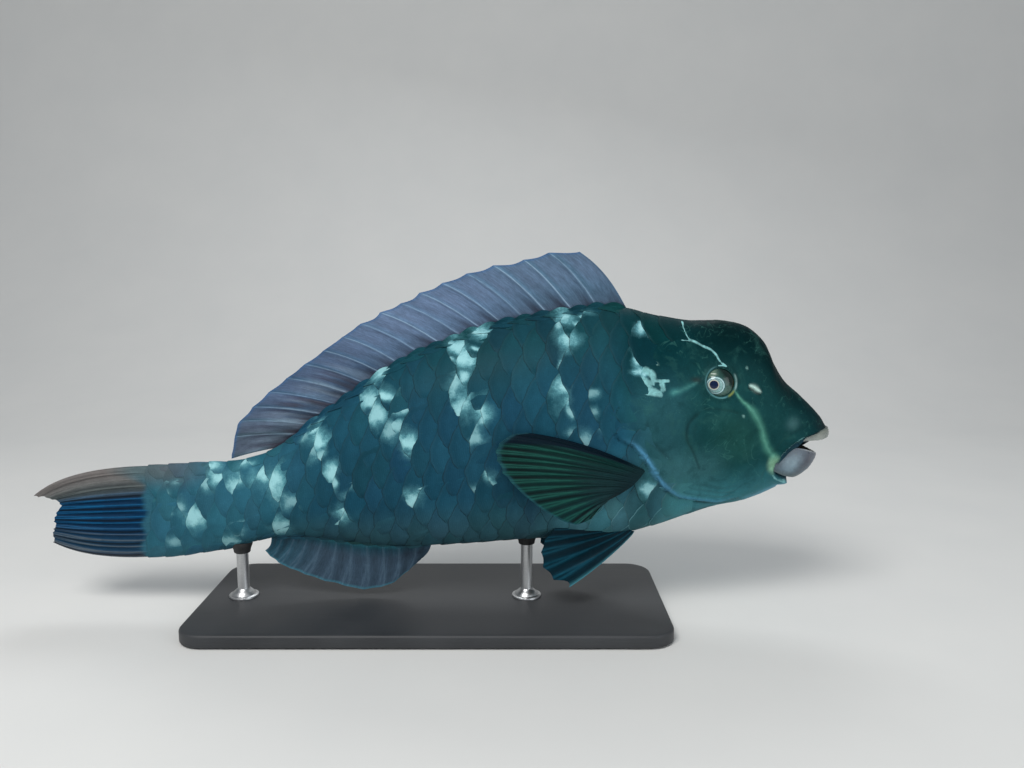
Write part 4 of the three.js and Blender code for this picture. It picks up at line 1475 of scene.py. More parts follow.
def build_beak(name, low_line, high_line, wide, bulge, nodular, material):
    """A plate round the jaw: low_line and high_line are its two edges in side view from the front (share
    0) to the back (share 1); wide(share) is its half width; bulge(v) moves the front profile in x."""
    ns, nv = 121, 34
    s = np.linspace(-1, 1, ns)
    v = np.concatenate([np.linspace(0, 0.86, 24), np.linspace(0.86, 1, 11)[1:]])
    S, Vv = np.meshgrid(s, v, indexing="ij")
    a = np.abs(S)
    q = a**1.9
    lo = share(np.array(low_line, float), q)
    hi = share(np.array(high_line, float), q)
    edge_wave = 0.35 * noise(np.stack([S * 60, Vv * 0, Vv * 0], -1), 2.6, 51)
    x = mix(lo[..., 0], hi[..., 0], Vv) + bulge(Vv) * (1 - a) ** 1.3
    z = mix(lo[..., 1], hi[..., 1], Vv) + edge_wave * Vv**6
    y = np.sign(S) * wide(a) * (1 - 0.03 * Vv)
    mid = np.stack([x, y, z], -1)
    ds, dv = np.gradient(mid, axis=0), np.gradient(mid, axis=1)
    n = np.cross(ds, dv)
    n /= np.maximum(np.linalg.norm(n, axis=-1, keepdims=True), 1e-9)
    if n[ns // 2, nv // 2, 0] < 0:
        n = -n
    # suture between the right and the left plate, growth lines, nodules
    arc = S * 62
    h = -0.9 * np.exp(-((arc / 0.9) ** 2)) - 0.25 * np.exp(-((arc / 2.6) ** 2))
    h += 0.10 * np.sin(Vv * 46 + noise(mid, 9, 57) * 2.5) * (1 - 0.5 * nodular)
    h += 0.22 * noise(mid, 6.5, 53) + 0.08 * noise(mid, 2.2, 55)
    if nodular:
        row = np.floor(Vv * 4.6)
        cu = (arc / 2.9 + row * 0.5) % 1.0 - 0.5
        cv = (Vv * 4.6) % 1.0 - 0.5
        knob = np.exp(-((cu / 0.27) ** 2) - ((cv / 0.30) ** 2))
        h += 0.62 * knob * (0.7 + 0.6 * noise(mid, 4.1, 59)) - 0.1
        pits = smooth(0.45, 0.8, noise(mid, 1.7, 61))
        h -= 0.3 * pits
    h -= 0.9 * smooth(0.93, 1.0, Vv) ** 2  # the cutting edge is bevelled
    outer = mid + n * h[..., None]
    thick = 2.6 * (1 - 0.45 * smooth(0.8, 1, Vv))
    inner = mid - n * thick[..., None]
    V = np.concatenate([outer.reshape(-1, 3), inner.reshape(-1, 3)])
    N = ns * nv
    gq = grid_quads(ns, nv)
    probe = np.cross(V[gq[:, 1]] - V[gq[:, 0]], V[gq[:, 2]] - V[gq[:, 0]])
    flip = (probe * n.reshape(-1, 3)[gq[:, 0]]).sum() < 0
    go = gq[:, ::-1] if flip else gq
    gi = (gq if flip else gq[:, ::-1]) + N
    idx = np.arange(N).reshape(ns, nv)
    rim = []
    border = list(idx[:, 0]) + list(idx[-1, 1:]) + list(idx[-2::-1, -1]) + list(idx[0, -2:0:-1])
    for k in range(len(border)):
        p0, p1 = border[k], border[(k + 1) % len(border)]
        rim.append((p0, p1, p1 + N, p0 + N))
    rim = np.array(rim)
    # turn the rim to match the outer sheet
    edge_dirs = {(int(f[k]), int(f[(k + 1) % 4])) for f in go for k in range(4)}
    if (int(rim[0][0]), int(rim[0][1])) in edge_dirs:
        rim = rim[:, ::-1]
    quads = np.concatenate([go, gi, rim])
    U2 = np.stack([0.02 + 0.46 * (S.ravel() + 1) / 2, 0.03 + 0.94 * Vv.ravel()], -1)
    U3 = U2 + np.array([0.49, 0])
    both = np.concatenate([U2, U3])
    uv = both[quads].reshape(-1, 2)
    # the rim's strip has its own place
    r0 = (len(go) + len(gi)) * 4
    for k in range(len(rim)):
        t0, t1 = k / len(rim), (k + 1) / len(rim)
        uv[r0 + 4 * k : r0 + 4 * k + 4] = [(0.985, t0), (0.985, t1), (0.997, t1), (0.997, t0)]
    lo_c, hi_c = (srgb(120, 126, 118), srgb(148, 153, 148)) if nodular else (srgb(62, 84, 98), srgb(88, 97, 109))
    vv = np.concatenate([Vv.ravel()] * 2)
    aa = np.concatenate([a.ravel()] * 2)
    if nodular:
        col = mix(lo_c, hi_c, smooth(0.1, 0.8, vv)[:, None])
        kn = np.concatenate([np.zeros(N), np.zeros(N)])
    else:
        col = mix(lo_c, hi_c, smooth(0.05, 0.8, vv)[:, None])
        col = mix(col, srgb(150, 176, 188), (np.exp(-(((aa - 0.82) / 0.13) ** 2) - ((vv - 0.45) / 0.35) ** 2) * 0.6)[:, None])
        col = mix(col, srgb(44, 42, 62), (np.exp(-(((aa - 0.55) / 0.13) ** 2) - ((vv - 0.62) / 0.3) ** 2) * 0.45)[:, None])
        col = mix(col, srgb(190, 196, 196), (smooth(0.94, 0.99, vv) * smooth(0.9, 0.6, aa) * 0.6)[:, None])
    col = mix(col, srgb(64, 72, 66), (np.exp(-(((np.concatenate([arc.ravel()] * 2)) / 1.0) ** 2)) * 0.7)[:, None])
    col = mix(col, srgb(70, 84, 84), (smooth(0.22, 0.0, vv) * 0.7)[:, None])
    col[N:] = srgb(70, 66, 60)
    o = make(name, V, quads, None, uv, dict(ground=col), material, sharp=50)
    return o


# ------------------------------------------------------------------------------ scales

PLATE_W = np.array([0.0, 0.45, 1.0, 1.8, 3.0, 5.0, 7.5, 10.5, 14.0, 18.0, 23.0, 30.0, 38.0])
PLATE_L = 38.0
rng = np.random.default_rng(11)


def lift_of(x, z):
    """Body relief at plate corners."""
    return relief(x, z)


def build_plate(u0, dk, half, gap, length, jitter, clamp, up):
    """Corners of one scale in skin coordinates and its height: rows from the free edge forward."""
    nl = 25
    lat = np.linspace(-1, 1, nl) * half
    lat = np.sign(lat) * np.abs(lat / half) ** 0.92 * half
    W, Lt = np.meshgrid(PLATE_W * (length / PLATE_L), lat, indexing="ij")
    a = np.abs(Lt) / gap
    e = 10.4 * (a / 24.5) ** (1.7 + 0.25 * np.sin(jitter[3] * 3))
    ragged = (0.45 * np.sin(Lt * 0.42 + jitter[3] * 4) + 0.2 * np.sin(Lt * 1.3 + jitter[3])) * np.exp(-W / 6)
    u = u0 + e + W * (1 - 0.10 * (a / 27) ** 2) + ragged
    drift = dk(u) - dk(u0)
    d = dk(u0) + drift * 0.9 + Lt + jitter[1]
    if clamp is not None:
        lo = np.interp(u, U_AXIS, D_BELLY) + clamp[0]
        hi = np.interp(u, U_AXIS, D_BACK) - clamp[1]
        d = np.clip(d, lo, hi)
    h = 0.85 - 1.7 * W / PLATE_L
    h -= 0.85 * smooth(21.0, 26.5, a) * (gap if gap < 1 else 1)
    h -= 0.28 * np.exp(-W / 0.35)
    h += 0.20 * np.exp(-(((W - 9) / 6) ** 2)) * np.exp(-((a / 14) ** 2))
    # low ribs that run to the free edge
    h += 0.02 * np.sin(Lt * 2.3 + 2.0 * np.sin(Lt * 0.31 + jitter[3])) * np.exp(-W / 11) * (a < 24)
    h += jitter[2] + up
    return u, d, W, a, h


def build_scales(material):
    """All scales, gathered by side and region into a few joined pieces."""
    bins = {}
    nl = 25

    def add(key, side, u, d, W, a, h, cell, tint, pull_at, over=None):
        uu, dd = u.ravel(), d.ravel()
        q, n = surf(np.maximum(uu, 0.5), dd)
        # past the end of the stalk the scales lie on the root of the tail fin
        past = np.maximum(0.5 - uu, 0)
        q = q - past[:, None] * np.array([1.0, 0, 0])
        q[:, 1] *= mix(6.8, 0.55, (1.15 * past / 122) ** 0.75) / 6.8
        x, z = q[:, 0], q[:, 2]
        lift = lift_of(x, z) + 0.32 * noise(np.stack([x, np.abs(q[:, 1]), z], -1), 24, 1)
        hh = h.ravel() + lift
        top = q + n * hh[:, None]
        thin = np.minimum(0.34 + 0.02 * W.ravel(), 0.6)
        low = q + n * (hh - thin)[:, None]
        if over is not None:
            # the upper part leaves the body and stands up against the fin's root
            rise = over[0].ravel()
            tall = np.abs(rise)
            keep = smooth(0, 3.5, tall)
            for sheet, gap_y in ((top, 3.1), (low, 2.5)):
                sheet[:, 2] += rise * 0.95
                sheet[:, 0] -= tall * 0.25
                sheet[:, 1] = mix(sheet[:, 1], gap_y + np.clip(over[1].ravel(), -1, 1.2) * 0.8, keep)
        P = np.concatenate([top, low])
        P[:, 1] *= -side
        share_h = share_up(uu, x, z)
        ground = base_colour(x, z, share_h) * tint
        cx, cz = pull_at
        ex, ez = mix(x, cx, 0.38), mix(z, cz, 0.38)
        PP = np.stack([ex, np.abs(q[:, 1]), ez], -1)
        pale, pale_tone = ellipses(ex, ez, warp_of(PP, side))
        # painted shade across each scale: darker towards its free edge, lighter further forward
        shade = mix(0.90, 1.08, smooth(1.5, 12, W.ravel()))
        ground = ground * shade[:, None]
        if cx > 165:
            ground = lay(ground, gill_light(x, z), srgb(84, 146, 184))
        nw = W.shape[0]
        N = nw * nl
        g = grid_quads(nw, nl)
        idx = np.arange(N).reshape(nw, nl)
        border = list(idx[0, :]) + list(idx[1:, -1]) + list(idx[-1, -2::-1]) + list(idx[-2:0:-1, 0])
        rim = np.array([(border[k], border[(k + 1) % len(border)]) for k in range(len(border))])
        b = bins.setdefault(key, dict(V=[], lowq=[], rimq=[], topq=[], uv=[], ground=[], pale=[], pale_tone=[], edge=[], rim=[], grow=[], n=0))
        s = b["n"]
        # grid rows run forward, columns upwards: on the near side that is counter-clockwise seen from outside
        tq = g[:, ::-1] if side > 0 else g
        lq = g if side > 0 else g[:, ::-1]
        rq = np.stack([rim[:, 0], rim[:, 1], rim[:, 1] + N, rim[:, 0] + N], -1)
        if side > 0:
            rq = rq[:, ::-1]
        b["V"].append(P)
        b["topq"].append(tq + s)
        b["lowq"].append(lq + N + s)
        b["rimq"].append(rq + s)
        c0, c1, e0, e1 = cell
        fw = (W / W.max()).ravel() ** 0.72
        fl = (np.sign(d.ravel() * 0 + 1) * ((np.linspace(0, 1, nl)[None, :] + np.zeros((nw, 1))).ravel()))
        m = 0.03
        U = mix(c0, c1, m + (1 - 2 * m) * fw)
        Vv = mix(e0, e1, m + (1 - 2 * m) * fl)
        uv = np.stack([U, Vv], -1)
        b["uv"].append(np.concatenate([uv, uv]))
        # the underside sheet is painted darker, and the rim between them with it, as painted shade at the free edge
        b["ground"].append(np.concatenate([ground, ground * 0.7]))
        b["pale"].append(np.concatenate([pale, pale * 0.5]))
        b["pale_tone"].append(np.concatenate([pale_tone, pale_tone]))
        breast = float(smooth(130, 175, cx) * smooth(132, 112, cz))
        b["edge"].append(np.full(len(pale) * 2, breast))
        rimd = W.ravel() + 0.5 * smooth(-110, -220, x) + 0.42 * smooth(148, 186, x) * smooth(0.30, 0.55, share_h)
        b["rim"].append(np.concatenate([rimd, rimd]))
        grow = (W.ravel() * 3.1) + 0.02 * (a.ravel() ** 2)
        b["grow"].append(np.concatenate([grow, grow]))
        b["n"] = s + 2 * N

    def region(u):
        return "rear" if u < 165 else "middle" if u < 330 else "front"

    count = 0
    for side in (1, -1):
        name = "right" if side > 0 else "left"
        for k in range(-7, 7):
            gap_row = lambda u: mix(0.88, 1.0, smooth(20, 200, u))
            dk = lambda u, k=k: row_d(k, u)
            for n in range(-1, 27):
                phase = 5.0 + (PITCH / 2 if k % 2 else 0) + (4.5 * -k if True else 0) * 0
                u0 = phase + PITCH * n - 4.5 * k * float(1 - smooth(320, 430, PITCH * n))
                if u0 < -9 or u0 > 560:
                    continue
                jit = rng.normal(0, 1, 4) * np.array([1.15, 0.9, 0.08, 1.0])
                u0 += jit[0]
                gap = float(gap_row(u0))
                uc = u0 + 8
                dc = float(dk(u0))
                lo, hi = float(np.interp(uc, U_AXIS, D_BELLY)), float(np.interp(uc, U_AXIS, D_BACK))
                half = 27.0 * gap
                if dc - half * 0.82 > hi or dc + half * 0.82 < lo:
                    continue
                dcc = float(np.clip(dc, lo + 3, hi - 3))
                q, _n = surf(np.array([max(uc, 0.5)]), np.array([dcc]))
                cx, cz = float(q[0, 0]), float(q[0, 2])
                s = float(to_line([cx], [cz], SCALE_FRONT)[0][0])
                if s > -1.5 or (cx > 250 and cz < 150):
                    continue
                # over the fins' roots the sheet stays clear of the plane of symmetry
                fin_top = 8.0 if cx > 200 else 5.5
                clamp = (2.6, 2.6)
                length = PLATE_L if u0 > 12 else 30.0
                u, d, W, a, h = build_plate(u0, dk, half, gap, length, jit, clamp, 0.0)
                u = np.minimum(u, U_END - 2)
                tint = 1.0 + rng.normal(0, 0.04, 3) * np.array([1, 0.7, 0.7]) + rng.normal(0, 0.06)
                v0 = (0.252 if side > 0 else 0.752) + (dc - half * 0.5) / 600
                v1 = (0.252 if side > 0 else 0.752) + (dc + half * 0.5) / 600
                cell = ((u0 + 8) / 728, (u0 + PITCH * 0.98 + 8) / 728, v0, v1)
                add("scales_%s_%s" % (name, region(u0)), side, u, d, W, a, h, cell, tint, (cx, cz))
                count += 1
    # plates over the ridge of nape, belly and tail stalk, where no fin stands
    for top, u_from, u_to in ((True, -2, 138), (True, 499, 545), (False, -2, 128), (False, 318, 560)):
        edge = D_BACK if top else D_BELLY
        for n, u0 in enumerate(np.arange(u_from, u_to, PITCH)):
            jit = rng.normal(0, 1, 4) * np.array([0.5, 0.0, 0.05, 1.0])
            half = 15.0
            dk = lambda u: np.interp(u, U_AXIS, edge) * 1.0
            uc = u0 + 8
            q, _n = surf(np.array([max(uc, 0.5)]), np.array([float(dk(uc))]))
            cx, cz = float(q[0, 0]), float(q[0, 2])
            if cx > 268 or (top and cx > 238):
                continue
            u, d, W, a, h = build_plate(u0, dk, half, 0.62, 32.0, jit, None, 0.35 - 0.9 * float(smooth(120, 200, cx)))
            u = np.minimum(u, U_END - 2)
            tint = 1.0 + rng.normal(0, 0.05, 3)
            base_v = 0.4995 if top else 0.0135
            cell = ((u0 + 8) / 728, (u0 + PITCH * 0.98 + 8) / 728, base_v - 0.012, base_v + 0.012)
            add("scales_ridge", 1, u, d, W, a, h, cell, tint, (cx, cz))
            count += 1
    # small scales of the sheath along the roots of the back and belly fins
    for side in (1, -1):
        for top, u_from, u_to, pitch in ((True, 148, 466, 18.5), (False, 137, 292, 16.0)):
            edge = D_BACK if top else D_BELLY
            sign = 1.0 if top else -1.0
            for n, u0 in enumerate(np.arange(u_from, u_to, pitch)):
                jit = rng.normal(0, 1, 4) * np.array([0.6, 0.3, 0.05, 1.0])
                half = 8.4 if top else 5.5
                dk = lambda u: np.interp(u, U_AXIS, edge) - sign * 6.0
                u, d, W, a, h = build_plate(u0 + jit[0], dk, half, 0.31, 25.0, jit, None, 0.45)
                crown = 1 - 0.45 * np.clip(np.abs(W - 7.0) / 10.5, 0, 1.15) ** 2.2
                d = dk(u) + (d - dk(u)) * crown
                over = np.maximum(0, sign * (d - np.interp(u, U_AXIS, edge)) + 3.2)
                d = d - sign * over
                u = np.clip(u, 0.5, U_END - 2)
                q, _n = surf(np.array([u0 + 6.0]), np.array([float(dk(u0 + 6.0))]))
                cx, cz = float(q[0, 0]), float(q[0, 2])
                tint = 1.0 + rng.normal(0, 0.05, 3)
                base_v = (0.252 if side > 0 else 0.752) + (float(np.interp(u0, U_AXIS, edge)) + sign * 4) / 600
                cell = ((u0 + 8) / 728, (u0 + pitch * 0.98 + 8) / 728, base_v - 0.006, base_v + 0.006)
                add("scales_sheath", side, u, d, W, a, h, cell, tint, (cx, cz), (over * sign, h))
                count += 1
    out = []
    tri_total = 0
    for key, b in sorted(bins.items()):
        V = np.concatenate(b["V"])
        low, rim, top = np.concatenate(b["lowq"]), np.concatenate(b["rimq"]), np.concatenate(b["topq"])
        quads = np.concatenate([low, rim, top])
        uv = np.concatenate(b["uv"])
        lo, hi = uv.min(0), uv.max(0)
        span = (hi - lo).max()
        uv = (uv - lo) / span * 0.98 + 0.01
        attrs = dict(
            ground=np.concatenate(b["ground"]),
            pale=np.concatenate(b["pale"]),
            pale_tone=np.concatenate(b["pale_tone"]),
            edge=np.concatenate(b["edge"]),
            rim=np.concatenate(b["rim"]),
            grow=np.concatenate(b["grow"]),
        )
        o = make(key, V, quads, None, uv[quads].reshape(-1, 2), attrs, material, sharp=55)
        out.append(o)
        tri_total += 2 * len(quads)
        print(key, 2 * len(quads), "tris")
    print("scales", count, "tris", tri_total)
    return out


# ------------------------------------------------------------------------------ fins

STEPS = np.array([0, 0.04, 0.09, 0.16, 0.26, 0.38, 0.5, 0.62, 0.74, 0.84, 0.91, 0.96])


def build_fin(name, mid_of, half_of, count, paint, material, *, rows=44, ray_up=0.55, pleat=0.8, width=0.12,
              cut=0.03, spines=0, branch=0.15, seed=1, far=False, length=80.0, soft=0.0):
    """A fan of rays. mid_of(s, t) gives the middle sheet for share s across and t outwards; half_of its
    half thickness. count is the number of rays, the first spines of them unbranched."""
    r = np.random.default_rng(seed)
    gaps = count - 1
    cols = np.concatenate([i + STEPS for i in range(gaps)] + [[gaps]])
    s = cols / gaps
    t = np.linspace(0, 1, rows) ** 0.92
    S, T = np.meshgrid(s, t, indexing="ij")
    C = S * gaps
    i = np.minimum(np.floor(C + 1e-9).astype(int), gaps - 1)
    f = C - i
    rand = r.uniform(0.6, 1.3, gaps + 1)
    sway = r.normal(0, 1, gaps + 1)
    hard = C < spines - 0.5
    # free edge: cut in between the rays
    deep = np.where(i < spines, 1.0, 0.45)
    dip = cut * deep * (1 - np.abs(2 * f - 1) ** 1.6) * rand[i]
    tip_jit = 0.012 * sway[i] * (1 - f) + 0.012 * sway[np.minimum(i + 1, gaps)] * f
    TE = T * (1 - dip - np.abs(tip_jit))
    mid = mid_of(S, TE)
    eps = 1e-3
    ds = mid_of(np.clip(S + eps, 0, 1), TE) - mid_of(np.clip(S - eps, 0, 1), TE)
    dt = mid_of(S, np.clip(TE + eps, 0, 1)) - mid_of(S, np.clip(TE - eps, 0, 1))
    n = np.cross(ds, dt)
    n /= np.maximum(np.linalg.norm(n, axis=-1, keepdims=True), 1e-9)
    if n[len(s) // 2, rows // 2, 1] > 0:
        n = -n
    # rays: one ridge that forks outwards in the soft part
    dist = np.minimum(f, 1 - f)
    signed = np.where(f < 0.5, f, f - 1)
    fork = np.where(hard, 0, branch * smooth(0.35, 0.95, T))
    w = width * mix(1.0, 0.72, T)
    ray = np.exp(-(((signed - fork) / w) ** 2)) + np.exp(-(((signed + fork) / w) ** 2))
    ray = np.where(fork < 0.02, np.exp(-((signed / w) ** 2)), np.minimum(ray, 1.0))
    near_ray = np.where(f < 0.5, i, i + 1)
    strength = np.where(near_ray < spines, 1.35, 1.0) * mix(1.0, 0.5, T)
    half = half_of(S, T) + ray_up * ray * strength * smooth(1.0, 0.93, T) * smooth(soft - 0.02, soft + 0.10, T)
    # pleats: the membrane steps back behind each ray and swells before the next
    step = (smooth(0.05, 0.3, f) - smooth(0.45, 0.98, f)) * rand[i]
    zig = np.where(i % 2 == 0, 1.0, -0.75)
    shift = pleat * step * zig * smooth(soft, soft + 0.22, T) * mix(1.0, 0.55, T)
    shift += 0.35 * pleat * np.sin(T * 7 + sway[i] * 2) * np.sin(f * PI) * T
    ripple = 0.10 * np.sin(f * 34 + sway[i]) * (1 - ray) * smooth(0.03, 0.2, T)
    half = np.maximum(half + ripple * 0.6, 0.28)
    mid = mid + n * shift[..., None]
    A = mid + n * half[..., None]
    B = mid - n * half[..., None]
    ns = len(s)
    N = ns * rows
    V = np.concatenate([A.reshape(-1, 3), B.reshape(-1, 3)])
    if far:
        V = V * np.array([1, -1, 1])
    g = grid_quads(ns, rows)
    a0, b0, c0 = A.reshape(-1, 3)[g[:, 0]], A.reshape(-1, 3)[g[:, 1]], A.reshape(-1, 3)[g[:, 2]]
    wrong = (np.cross(b0 - a0, c0 - a0) * n.reshape(-1, 3)[g[:, 0]]).sum() < 0
    ga = g[:, ::-1] if wrong else g
    gb = (g if wrong else g[:, ::-1]) + N
    idx = np.arange(N).reshape(ns, rows)
    border = list(idx[:, 0]) + list(idx[-1, 1:]) + list(idx[-2::-1, -1]) + list(idx[0, -2:0:-1])
    rim = np.array([(border[k], border[(k + 1) % len(border)]) for k in range(len(border))])
    rq = np.stack([rim[:, 0], rim[:, 1], rim[:, 1] + N, rim[:, 0] + N], -1)
    dirs = {(int(q[k]), int(q[(k + 1) % 4])) for q in ga for k in range(4)}
    if (int(rq[0][0]), int(rq[0][1])) in dirs:
        rq = rq[:, ::-1]
    quads = np.concatenate([ga, gb, rq])
    if far:
        quads = quads[:, ::-1]
    U = np.stack([0.01 + 0.47 * S.ravel(), 0.01 + 0.98 * T.ravel()], -1)
    uvv = np.concatenate([U, U + np.array([0.495, 0])])
    uv = uvv[quads].reshape(-1, 2)
    r0 = (len(ga) + len(gb)) * 4
    for k in range(len(rq)):
        t0, t1 = k / len(rq), (k + 1) / len(rq)
        uv[r0 + 4 * k : r0 + 4 * k + 4] = [(0.985, t0), (0.985, t1), (0.997, t1), (0.997, t0)]
    colour = paint(S.ravel(), T.ravel(), C.ravel(), f.ravel(), ray.ravel(), rand[i].ravel(), A.reshape(-1, 3))
    both = lambda v: np.concatenate([v, v])
    attrs = dict(
        ground=np.concatenate([colour, colour]),
        ray_no=both(C.ravel()),
        ray_at=both(T.ravel() * length / 25),
        ray_mm=both(T.ravel() * length),
        ray=both(ray.ravel() * (~hard).ravel()),
    )
    o = make(name, V, quads, None, uv, attrs, material, sharp=60)
    print(name, 2 * len(quads), "tris")
    return o


DORSAL_RAYS = np.array(
    [
        (197, 310, 147, 366),
        (169, 309, 117, 365),
        (145, 309, 91, 359),
        (122, 306, 62, 353),
        (99, 301, 36, 345),
        (77, 296, 12, 335.5),
        (57, 289, -11, 326),
        (37, 283, -31, 316),
        (17, 276, -50, 306.5),
        (-5, 267, -69, 295.5),
        (-26, 258, -88, 282.5),
        (-43, 249, -107, 269),
        (-59, 240, -126, 255),
        (-74, 230, -145, 241),
        (-88, 220, -163, 227),
        (-102, 209, -179, 212),
        (-116, 198, -193, 197.5),
        (-129, 188, -201, 181),
        (-145, 175, -203.5, 158.5),
    ],
    float,
)


def back_z(x):
    """Height of the back (or belly) outline at x."""
    p = np.linspace(0, LAST, 1200)
    r = along(BODY, p)
    return np.interp(x, r[:, 0], r[:, 1])


def belly_z(x):
    p = np.linspace(0, LAST, 1200)
    r = along(BODY, p)
    return np.interp(x, r[:, 2], r[:, 3])


def dorsal_mid(s, t):
    r = along(DORSAL_RAYS, s * (len(DORSAL_RAYS) - 1))
    zr = back_z(r[..., 0]) - 5.0
    bend = 3 * 4 * t * (1 - t) * (1 - smooth(0, 0.12, s)) + 3.4 * 5.2 * t**1.5 * (1 - t)
    x = mix(r[..., 0], r[..., 2], t)
    z = mix(zr, r[..., 3], t)
    y = 0.9 * np.sin(s * 19) * t * t + 1.6 * np.sin(s * 5 + 1) * t * t
    return np.stack([x + bend * 0.75, y, z + bend * 0.5], -1)


def median_half(root, edge, k=1.25, e=0.6):
    return lambda s, t: mix(root, edge, np.minimum(1, k * t) ** e)


def dorsal_paint(s, t, c, f, ray, rand, p):
    front, mid, rear, last = srgb(76, 108, 132), srgb(92, 120, 150), srgb(60, 90, 118), srgb(62, 82, 92)
    x = c[:, None]
    col = mix(np.broadcast_to(front, (len(c), 3)), mid, smooth(2, 6, x))
    col = mix(col, rear, smooth(8, 12, x))
    col = mix(col, last, smooth(14, 17.5, x))
    lines = 0.5 + 0.5 * noise(np.stack([c * 14, t * 1.6, t * 0], -1), 1.0, 71)
    col = col * mix(0.82, 1.16, lines)[:, None]
    bands = noise(np.stack([c * 5.0, t * 1.1, t * 0], -1), 1.0, 77)
    tail_part = smooth(9, 14, c) * smooth(0.95, 0.5, t)
    col = mix(col, srgb(44, 44, 48), (np.clip(bands * 1.7, 0, 0.85) * tail_part)[:, None])
    col = mix(col, srgb(128, 150, 166), (np.clip(-bands * 1.2, 0, 0.6) * tail_part)[:, None])
    mauve = smooth(0.1, 0.7, t) * smooth(0.55, 0.25, np.abs(f - 0.45))
    col = mix(col, srgb(104, 106, 132), (mauve * 0.32)[:, None])
    base = smooth(0.5, 0.08, t) * np.where(f > 0.12, 1.0, 0.5) * np.clip(0.4 + 0.6 * rand, 0, 1.1)
    col = mix(col, srgb(58, 58, 72), (base * 0.62)[:, None])
    # painted shade: dark curved folds rising from the root behind the rays, and a darker strip just behind each ray
    fold = np.exp(-(((f - 0.20 - 0.42 * t) / (0.20 - 0.12 * t)) ** 2)) * smooth(0.8, 0.1, t) * np.clip(rand * 1.2 - 0.3, 0, 1)
    col = mix(col, srgb(36, 38, 52), (fold * 0.85)[:, None])
    pale = np.where(f < 0.5, np.exp(-((f / 0.028) ** 2)), np.exp(-(((1 - f) / 0.03) ** 2)))
    pale = pale * mix(1.0, 0.5, smooth(9, 14, c)) * smooth(0.0, 0.2, t) * np.clip((rand - 0.35) * 1.5, 0.35, 1.1)
    col = mix(col, srgb(146, 172, 196), (pale * 0.72)[:, None])
    pleat_shade = np.exp(-(((f - 0.10) / 0.05) ** 2)) * smooth(1.0, 0.6, t)
    col = mix(col, srgb(48, 56, 78), (pleat_shade * 0.35)[:, None])
    rim = smooth(0.95, 0.99, t)
    col = mix(col, srgb(56, 96, 140), (rim * 0.6)[:, None])
    # dark line where the sheath of scales ends: partly the fin's own dark root, partly painted shade at the joint
    above = p[:, 2] - back_z(p[:, 0])
    col = mix(col, srgb(40, 36, 48), (np.exp(-(((above - 1.4) / 2.2) ** 2)) * 0.75)[:, None])
    return col


ANAL_TIPS = np.array([[-14, 53], [-38, 30], [-66, 21], [-102, 27], [-138, 39], [-161, 50], [-173, 62]], float)


def anal_mid(s, t):
    p = mix(9.0, 4.35, s)
    r = along(BODY, p)
    tip = share(ANAL_TIPS, s)
    x0, z0 = r[..., 2], r[..., 3] + 5
    bend = -2.0 * 4 * t * (1 - t)
    x = mix(x0, tip[..., 0], t) + 3.0 * 4 * t * (1 - t)
    z = mix(z0, tip[..., 1], t) + bend
    y = 1.3 * np.sin(s * 6 + 2) * t * t
    return np.stack([x, y, z], -1)


def anal_paint(s, t, c, f, ray, rand, p):
    grey, teal = srgb(62, 82, 100), srgb(40, 92, 110)
    tt, ss = t[:, None], s[:, None]
    col = mix(np.broadcast_to(grey, (len(c), 3)), teal, np.maximum(smooth(0.4, 0.1, tt), smooth(0.55, 0.95, ss) * 0.8))
    dk = np.exp(-(((f - 0.55) / 0.25) ** 2)) * rand
    col = mix(col, srgb(40, 52, 62), (dk * 0.45)[:, None])
    col = mix(col, srgb(84, 108, 126), (ray * 0.45)[:, None])
    col = mix(col, srgb(70, 132, 150), (smooth(0.93, 0.985, t) * 0.5)[:, None])
    col = mix(col, srgb(66, 150, 164), (np.exp(-(((t - 0.13) / 0.045) ** 2)) * 0.45)[:, None])
    return col


TAIL_TOP, TAIL_LOW = (-277.5, 151.2), (-283.0, 56.4)
TAIL_BEND = [[-372, 151], [-345, 124], [-345, 100], [-347, 76], [-355, 52]]
TAIL_ENDS = [[-407, 119], [-393, 116], [-381, 111], [-385, 100], [-387, 90], [-389, 80], [-391, 71]]


def tail_mid(s, t):
    bx, bz = share(TAIL_BEND, s)[..., 0], share(TAIL_BEND, s)[..., 1]
    en = share(TAIL_ENDS, s)
    q = 1 - t
    x = q * q * mix(TAIL_TOP[0], TAIL_LOW[0], s) + 2 * q * t * bx + t * t * en[..., 0]
    z = q * q * mix(TAIL_TOP[1], TAIL_LOW[1], s) + 2 * q * t * bz + t * t * en[..., 1]
    y = 2.2 * np.sin(s * 7.5) * t * t
    return np.stack([x, y, z], -1)


def tail_half(s, t):
    return mix(6.8 * np.sqrt(np.maximum(0.02, 1 - (2 * s - 1) ** 2)), 0.55, np.minimum(1, 1.15 * t) ** 0.75)


